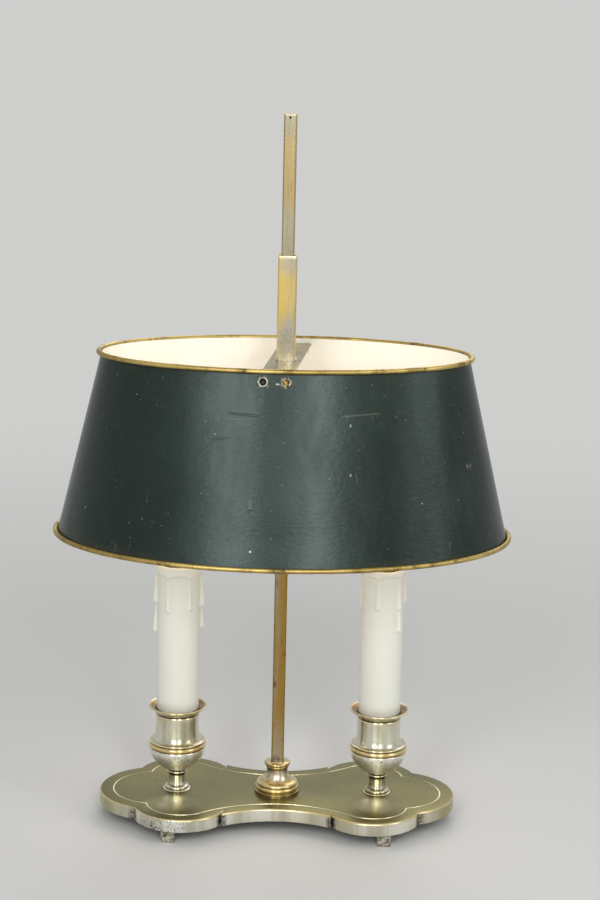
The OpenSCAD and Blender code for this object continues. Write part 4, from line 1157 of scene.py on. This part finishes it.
# painted shade: fine creases in the paint drawn darker, with a dent in the bump
creases_and_their_shade = line_on_paint(-24, 278.9, 24, -0.05, 0.7) \
    + line_on_paint(-38, 264.4, 15, 0.15, 0.5) * 0.45 \
    + near_paint(-19.4, 223.6, 0.4, 1.2, (0.7, 1, 1))
pale_marks = line_on_paint(46, 279.4, 27, 0.06, 0.5) * 0.2 \
    + near_paint(-19.4, 227, 0.6, 1.6, (1, 1, 0.3)) * 0.15 \
    + near_paint(39.6, 273.3, 0.2, 0.75, (1, 1, 0.6)) \
    + near_paint(40.2, 244.8, 0.2, 0.75, (1, 1, 0.6)) \
    + near_paint(113.4, 244, 0.8, 2.6) * paint.grain(900, 3).between(0.50, 0.58) * 0.7
hollow_low, hollow_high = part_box("hollow_rivets")
rivet_level, hollow_x = (hollow_low.z + hollow_high.z) / 2 / MM, hollow_low.x / MM + 3.0
bare = near_paint(hollow_x, rivet_level, 3.3, 4.4) \
    + near_paint(hollow_x + 14, rivet_level, 3.1, 4.2)
chip = near_paint(hollow_x + 8.8, rivet_level - 1.0, 0.15, 0.7, (0.4, 1, 1))
scuff = near_paint(-26, 274, 3, 10, (0.5, 1, 1)) \
    * paint.grain(150, 5, (0.3, 1, 1), 0.7).between(0.55, 0.63)
colour = paint.coats(
    (14, 25, 19), (cloud.between(0.35, 0.65), (23, 35, 28)),
    (rubbed_marks.between(0.48, 0.70) * 0.45, (50, 58, 50)),
    (fine_dust * 0.26, (88, 94, 82)),
    ((scratch + tall_scratch) * 0.30, (92, 98, 90)),
    (near_rim * level_marks.between(0.5, 0.7) * 0.5, (64, 56, 36)),
    (dust * paint.grain(18, 2).between(0.38, 0.55) * 0.6, (140, 142, 130)),
    (paint.specks(75, 0.040) * 0.7, (196, 196, 184)),
    (creases_and_their_shade * 0.8, (12, 17, 14)),
    (pale_marks, (150, 150, 138)),
    (near_paint(-18.8, 200.6, 0.35, 0.85), (216, 214, 200)),
    (bare * paint.grain(620, 4).between(0.50, 0.60) * 0.8, (170, 164, 140)),
    (chip, (206, 204, 190)),
    (scuff * 0.6, (78, 86, 80)))
outside_paint = paint.set(
    height=cloud * 0.6 + rubbed_marks * 0.3 + level_marks * 0.2 + skin * 0.22 - creases_and_their_shade * 0.25,
    depth=0.0005, Base_Color=colour,
    Roughness=0.19 + rubbed_marks * 0.10 + handled * 0.10 + cloud * 0.06 + dust * 0.2
    + fine_dust * 0.10 + bare * 0.2)
shade = made("shade", points, rings_to_faces(2 * (climbs + 1), shade_steps, True),
             [outside_paint, inner_paint_with_glow], 40)
for face in shade.data.polygons:
    face.material_index = int(climbs < face.index // shade_steps <= 2 * climbs)
outward(shade)
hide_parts("shade_shell")
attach(shade, "shade")


# ---- Rims ----
# Both edges of the shade are rolled over a wire, painted gold, and rubbed dark where hands and
# dusters have worn the gold away. The lower side of each wire is painted darker, as shade.
wire, wire_steps, wire_sides = 1.7, 320, 14
finish = Finish("rubbed_gold_rim", Metallic=1.0)
worn = finish.grain(70, 6, (1, 1, 0.8), 0.65)
specked = finish.grain(260, 5, (1, 1, 1), 0.65)
# painted shade: the lower side of each rim wire darker
shaded_underside = finish.z.below(shade_high.z - 0.0016, shade_high.z - 0.0002) \
    * finish.z.between(shade_low.z + 0.02, shade_low.z + 0.03) \
    + finish.z.below(shade_low.z - 0.0016, shade_low.z - 0.0002)
bare_spots = worn * 0.4 + specked * 0.6
colour = finish.coats(
    (206, 182, 112), (finish.grain(16, 3).between(0.36, 0.62), (168, 144, 82)),
    (shaded_underside * worn.between(0.36, 0.56, 0.2, 0.9), (104, 68, 38)),
    (worn.between(0.47, 0.62) * 0.6, (116, 94, 50)),
    (bare_spots.between(0.55, 0.63) * 0.8, (66, 56, 32)))
gold_rim = finish.set(height=worn * 0.6 + specked * 0.4, depth=0.0003, Base_Color=colour,
                      Metallic=bare_spots.between(0.55, 0.63, 1.0, 0.5),
                      Roughness=0.28 + worn * 0.3)
for name, node, share, seed in (("rim_top", "shade_top_rim", 1.0, 3.0),
                                ("rim_bottom", "shade_bottom_rim", 0.0, 8.0)):
    points = []
    for angle in (2 * math.pi * i / wire_steps for i in range(wire_steps)):
        wave = noise.noise(Vector((math.cos(angle) * 9, math.sin(angle) * 9, seed)))
        thick = wire * (0.93 + 0.06 * wave)
        for spin in (2 * math.pi * j / wire_sides for j in range(wire_sides)):
            points.append(oval(share, angle, wire - 0.1 + thick * math.cos(spin) - 0.05,
                               thick * math.sin(spin) * 0.97 + 0.05 * wave))
    rim = outward(made(name, points, rings_to_faces(wire_steps, wire_sides, True), [gold_rim], 80))
    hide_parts(node)
    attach(rim, "shade")


# ---- Crossbar ----
# A flat plated strip bent down at both ends and riveted to the shade; the sleeve is soldered to it.
bar_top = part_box("crossbar")[1].z / MM
bar_width, bar_thick, tab_end, bend, shade_gap = 20.0, 1.5, 11.0, 2.2, 0.35
bar_slant = math.radians(6)
lean = (bottom_half[1] - top_half[1]) / (shade_top - shade_bottom)
slope = math.atan(lean)


def half_at_height(z):
    """Half the shade's length and depth at a height in millimetres."""
    return half_at((z - shade_bottom) / (shade_top - shade_bottom))


def inner_depth(z):
    """Half the depth inside the shade, less the gap that the tabs leave."""
    return half_at_height(z)[1] - sheet / math.cos(slope) - shade_gap


bar_length_half, bar_depth_half = half_at_height(bar_top)
squeeze = (bar_depth_half / bar_length_half) ** 2
tab_turn = math.atan(math.tan(bar_slant) * squeeze)
tab_shift = bar_depth_half * math.tan(bar_slant) * (1 - squeeze)
front_tab = Matrix.Translation((-tab_shift, 0, 0)) @ Matrix.Rotation(-tab_turn, 4, "Z")
tabs = (front_tab, Matrix.Rotation(math.pi, 4, "Z") @ front_tab)
fold = inner_depth(bar_top - bar_thick) - bar_thick / math.cos(slope)


def on_bar(x, y, z):
    """A point of the straight strip moved onto the slanting one, whose tabs lie on the oval."""
    front = tabs[0] @ Vector((x, min(y, -fold), z))
    back = tabs[1] @ Vector((-x, -max(y, fold), z))
    share = min(max((y + fold) / (2 * fold), 0), 1)
    return (front + (back - front) * share) * MM


corner_y, turn = inner_depth(bar_top), math.pi / 2 - slope
reach = bend * math.tan(turn / 2)
half_path = [(corner_y - reach + bend * math.sin(angle), bar_top - bend * (1 - math.cos(angle)),
              angle) for angle in (turn * k / 8 for k in range(9))]
half_path.append((corner_y + lean * tab_end, bar_top - tab_end, turn))
path = [(-y, z, -angle) for y, z, angle in reversed(half_path)] + half_path
section = ((-0.5, 0.12), (-0.47, 0.0), (0.47, 0.0), (0.5, 0.12), (0.5, 0.88), (0.47, 1.0),
           (-0.47, 1.0), (-0.5, 0.88))
points = [on_bar(x * bar_width, y - math.sin(angle) * bar_thick * deep,
                 z - math.cos(angle) * bar_thick * deep)
          for y, z, angle in path for x, deep in section]
finish = Finish("dull_bar_plate", Metallic=1.0)
streaks = finish.grain(60, 5, (1, 0.15, 1), 0.6)
cloud = finish.grain(30, 4)
colour = finish.coats((158, 148, 102), (cloud.between(0.4, 0.62), (128, 115, 70)),
                      (streaks.between(0.54, 0.72) * 0.6, (104, 92, 62)))
bar_plate = finish.set(height=streaks * 0.5 + cloud * 0.5, depth=0.00025, Base_Color=colour,
                       Roughness=0.16 + streaks * 0.2)
bar = outward(made("shade_bar", points, capped(len(path), len(section)), [bar_plate, inner_paint_with_glow]))
# the bent-down tabs get the shade's white inner paint and its painted glow
for face in bar.data.polygons:
    face.material_index = int(face.center.z < (bar_top - bar_thick - 0.5) * MM)
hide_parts("crossbar")
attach(bar, "shade")


# ---- Sliding sleeve ----
# A square brass tube that slides on the rod and holds by friction. Its plate is rubbed to yellow
# brass all down its front, and its open top shows the thin wall.
sleeve_low, sleeve_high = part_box("slider_sleeve")
sleeve_bottom, sleeve_top = sleeve_low.z / MM, sleeve_high.z / MM
sleeve_half, sleeve_wall, sleeve_steps = (sleeve_high.x - sleeve_low.x) / 2 / MM, 0.8, 30
sleeve_bore = sleeve_half - sleeve_wall
finish = Finish("yellow_sleeve_plate", Metallic=1.0)
streaks = finish.grain(70, 5, (1, 1, 0.04), 0.6)
fine = finish.grain(420, 4, (1, 1, 0.06), 0.6)
grit = finish.grain(1400, 3, (1, 1, 0.6), 0.6)
patches = finish.grain(60, 4, (1, 1, 0.5), 0.6)
strip = worn_edges(finish, streaks, sleeve_half, 1.1)
rubbed_left = (finish.x + (patches - 0.5) * 0.010).between(
    -sleeve_half * MM, 0.9 * sleeve_half * MM, 0.22, -0.10)
uneven_z = finish.z + (patches - 0.5) * 0.02
grey_foot = uneven_z.below(sleeve_low.z + 0.012, sleeve_low.z + 0.036)
grey_head = uneven_z.between(sleeve_high.z - 0.016, sleeve_high.z - 0.006)
yellow = strip * 0.6 + (streaks * 0.5 + patches * 0.4 + rubbed_left + 0.46 - grey_foot * 0.62
                        - grey_head * 0.42).between(0.30, 1.05)
colour = finish.coats(
    (200, 196, 182), (grit.between(0.35, 0.65) * 0.6, (158, 152, 134)),
    (yellow, (226, 198, 118)),
    (fine.between(0.48, 0.70) * 0.5, (186, 154, 84)),
    (finish.grain(130, 5, (1, 1, 0.3), 0.7).between(0.62, 0.76) * 0.7, (110, 86, 46)),
    (finish.mark("edge") * 0.5, (238, 228, 190)))
sleeve_plate = finish.set(height=streaks * 0.4 + fine * 0.4 + grit * 0.3, depth=0.00014,
                          Base_Color=colour, Roughness=0.24 + fine * 0.14)
heights = [(sleeve_bottom, sleeve_half - 0.05)]
heights += [(sleeve_bottom + (sleeve_top - 0.5 - sleeve_bottom) * k / sleeve_steps, sleeve_half)
            for k in range(1, sleeve_steps + 1)]
heights += [(sleeve_top - 0.2, sleeve_half - 0.04), (sleeve_top, sleeve_half - 0.18)]
outer, count = square_rings(heights, bar_corner, corner_steps)
inner, count = square_rings([(sleeve_top, sleeve_bore + 0.14), (sleeve_top - 0.3, sleeve_bore),
                             (sleeve_bottom, sleeve_bore)], 0.6, corner_steps)
points = outer + inner
sleeve = outward(made("shade_sleeve", points, rings_to_faces(len(points) // count, count, True),
                      [sleeve_plate], 40))
painted(sleeve.data, "edge", [float(vertex.co.z > sleeve_high.z - 0.0006)
                              for vertex in sleeve.data.vertices])
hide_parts("slider_sleeve")
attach(sleeve, "shade")
solder_bead("solder_at_bar", sleeve_half, sleeve_bottom, 1.1, 0.9, "shade")


# ---- Rivets ----
# Each tab of the crossbar is held by a solid rivet on one side and a hollow one on the other.
# Their heads have rubbed rims, and their tails inside are painted white with the shade.
rivet_drop, rivet_x, rivet_steps = 3.3, 7.0, 40
head_radius, shank_radius, tail_radius = 3.0, 1.4, 2.3


def rivet_finish(name, scale, stained, first, second, worn_rim, brightened, rim_colour, rough):
    """Stained metal with a rubbed rim, and white paint on its tail."""
    finish = Finish(name, Metallic=0.9)
    rub = finish.grain(scale, 5)
    tail = abs(finish.y).below(0.0575, 0.0585)
    colour = finish.coats(
        first, (rub.between(*stained), second),
        (finish.mark("edge").between(*worn_rim) * rub.between(*brightened), rim_colour),
        (tail, (238, 235, 224)))
    return finish.set(height=rub, depth=0.00020, Base_Color=colour,
                      Metallic=tail.between(0.0, 1.0, 0.9, 0.0), Roughness=rough + rub * 0.25)


rivet_brass = rivet_finish("rubbed_rivet", 900, (0.38, 0.56), (150, 122, 70), (62, 50, 30),
                           (0.62, 0.85), (0.46, 0.58, 1.0, 0.0), (206, 200, 180), 0.32)
dark_rivet = rivet_finish("painted_eyelet", 520, (0.42, 0.62), (48, 46, 36), (24, 26, 20),
                          (0.74, 0.88), (0.60, 0.70, 1.0, 0.2), (214, 211, 196), 0.34)
rivet_z = bar_top - rivet_drop
rivet_y = half_at_height(rivet_z)[1]
through = sheet + shade_gap + bar_thick + shade_gap
shank = [(tail_radius, -through), (shank_radius, -through), (shank_radius, 0.1), (2.9, 0.1)]
solid_profile = [(0, -through - 0.7), (2.0, -through - 0.6)] + shank + [(head_radius, 0.3)] + [
    (head_radius * math.cos(angle), 0.3 + 0.6 * math.sin(angle))
    for angle in (math.radians(15 * k) for k in range(1, 6))] + [(0, 0.9)]
eyelet_profile = [(0.9, -through - 0.65), (1.3, -through - 0.7), (2.2, -through - 0.4)] + shank + [
    (head_radius, 0.35), (2.8, 0.7), (2.2, 0.88), (1.5, 0.8), (1.1, 0.5), (0.9, 0.0)]
for name, profile, hollow, side, metal, node in (
        ("solid_rivet_heads", solid_profile, False, 1, rivet_brass, "solid_rivets"),
        ("hollow_rivet_rings", eyelet_profile, True, -1, dark_rivet, "hollow_rivets")):
    rivet = lathe("rivet", profile, rivet_steps, None, closed=hollow)
    painted(rivet.data, "edge", [math.hypot(vertex.co.x, vertex.co.y) / MM / head_radius
                                 for vertex in rivet.data.vertices])
    spots = []
    for tab in tabs:
        spot = tab @ Vector((side * rivet_x, -rivet_y, rivet_z)) * MM
        tilt = tab.to_3x3() @ Matrix.Rotation(math.pi / 2 - slope, 3, "X")
        spots.append((tuple(spot), tuple(tilt.to_euler())))
    heads = repeated(name, rivet, spots, metal)
    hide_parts(node)
    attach(heads, "shade")


# ---- Floor and light ----
# A plain pale floor that fades into a pale surround, and soft studio lamps: two tall ones in front,
# whose light lies in soft upright bands on the shade, a weaker one on the right, and one behind.
surround, ambient, ambient_strength = (0.62, 0.62, 0.61, 1.0), (1.0, 1.0, 0.985, 1.0), 0.40
floor_colour, floor_radius, floor_steps = (0.70, 0.70, 0.69, 1.0), 1400, 96
finish = Finish("pale_floor", Roughness=0.7, Metallic=0.0, Base_Color=floor_colour)
fade = finish.vector("LENGTH", finish.place).between(0.30, 1.30)
under = Level(finish, finish.add("ShaderNodeNewGeometry").outputs["Backfacing"])
clear = finish.add("ShaderNodeBsdfTransparent")
cover = finish.add("ShaderNodeMixShader", {}, {0: finish.maths("MAXIMUM", fade, under),
                                               1: finish.shader.outputs[0], 2: clear.outputs[0]})
finish.tree.links.new(cover.outputs[0], finish.output.inputs[0])
floor_mesh = bpy.data.meshes.new("floor")
floor_mesh.from_pydata(circle(floor_radius, floor_steps, 0), [], [tuple(range(floor_steps))])
floor_mesh.materials.append(finish.material)
linked("floor", floor_mesh)

scene.world = bpy.data.worlds.new("studio")
scene.world.use_nodes = True
sky = Tree(scene.world.node_tree)
rays = sky.add("ShaderNodeLightPath").outputs
direct = rays["Is Camera Ray"]
for kind in ("Is Glossy Ray", "Is Transmission Ray"):
    either = sky.add("ShaderNodeMath", {"operation": "MAXIMUM"}, {0: direct, 1: rays[kind]})
    direct = either.outputs[0]
soft = sky.add("ShaderNodeBackground", {}, {0: ambient, 1: ambient_strength})
behind = sky.add("ShaderNodeBackground", {}, {0: surround, 1: 1.0})
joined = sky.add("ShaderNodeMixShader", {}, {0: direct, 1: soft.outputs[0],
                                             2: behind.outputs[0]})
sky.add("ShaderNodeOutputWorld", {}, {0: joined.outputs[0]})

for name, place, aim, wide, tall, power in (
        ("left", (-0.47, -1.42, 0.85), 0.24, 0.42, 0.9, 8.0),
        ("middle", (0.30, -1.49, 0.90), 0.24, 0.28, 0.9, 7.4),
        ("right", (1.31, -0.73, 0.95), 0.2, 0.5, 0.9, 4.5),
        ("back", (0.3, 1.5, 1.5), 0.25, 1.2, 1.2, 8)):
    light = bpy.data.lights.new(name, "AREA")
    light.shape, light.size, light.size_y, light.energy = "RECTANGLE", wide, tall, power
    way = (Vector((0, 0, aim)) - Vector(place)).to_track_quat("-Z", "Y").to_matrix().to_4x4()
    linked(name, light).matrix_world = Matrix.Translation(Vector(place)) @ way
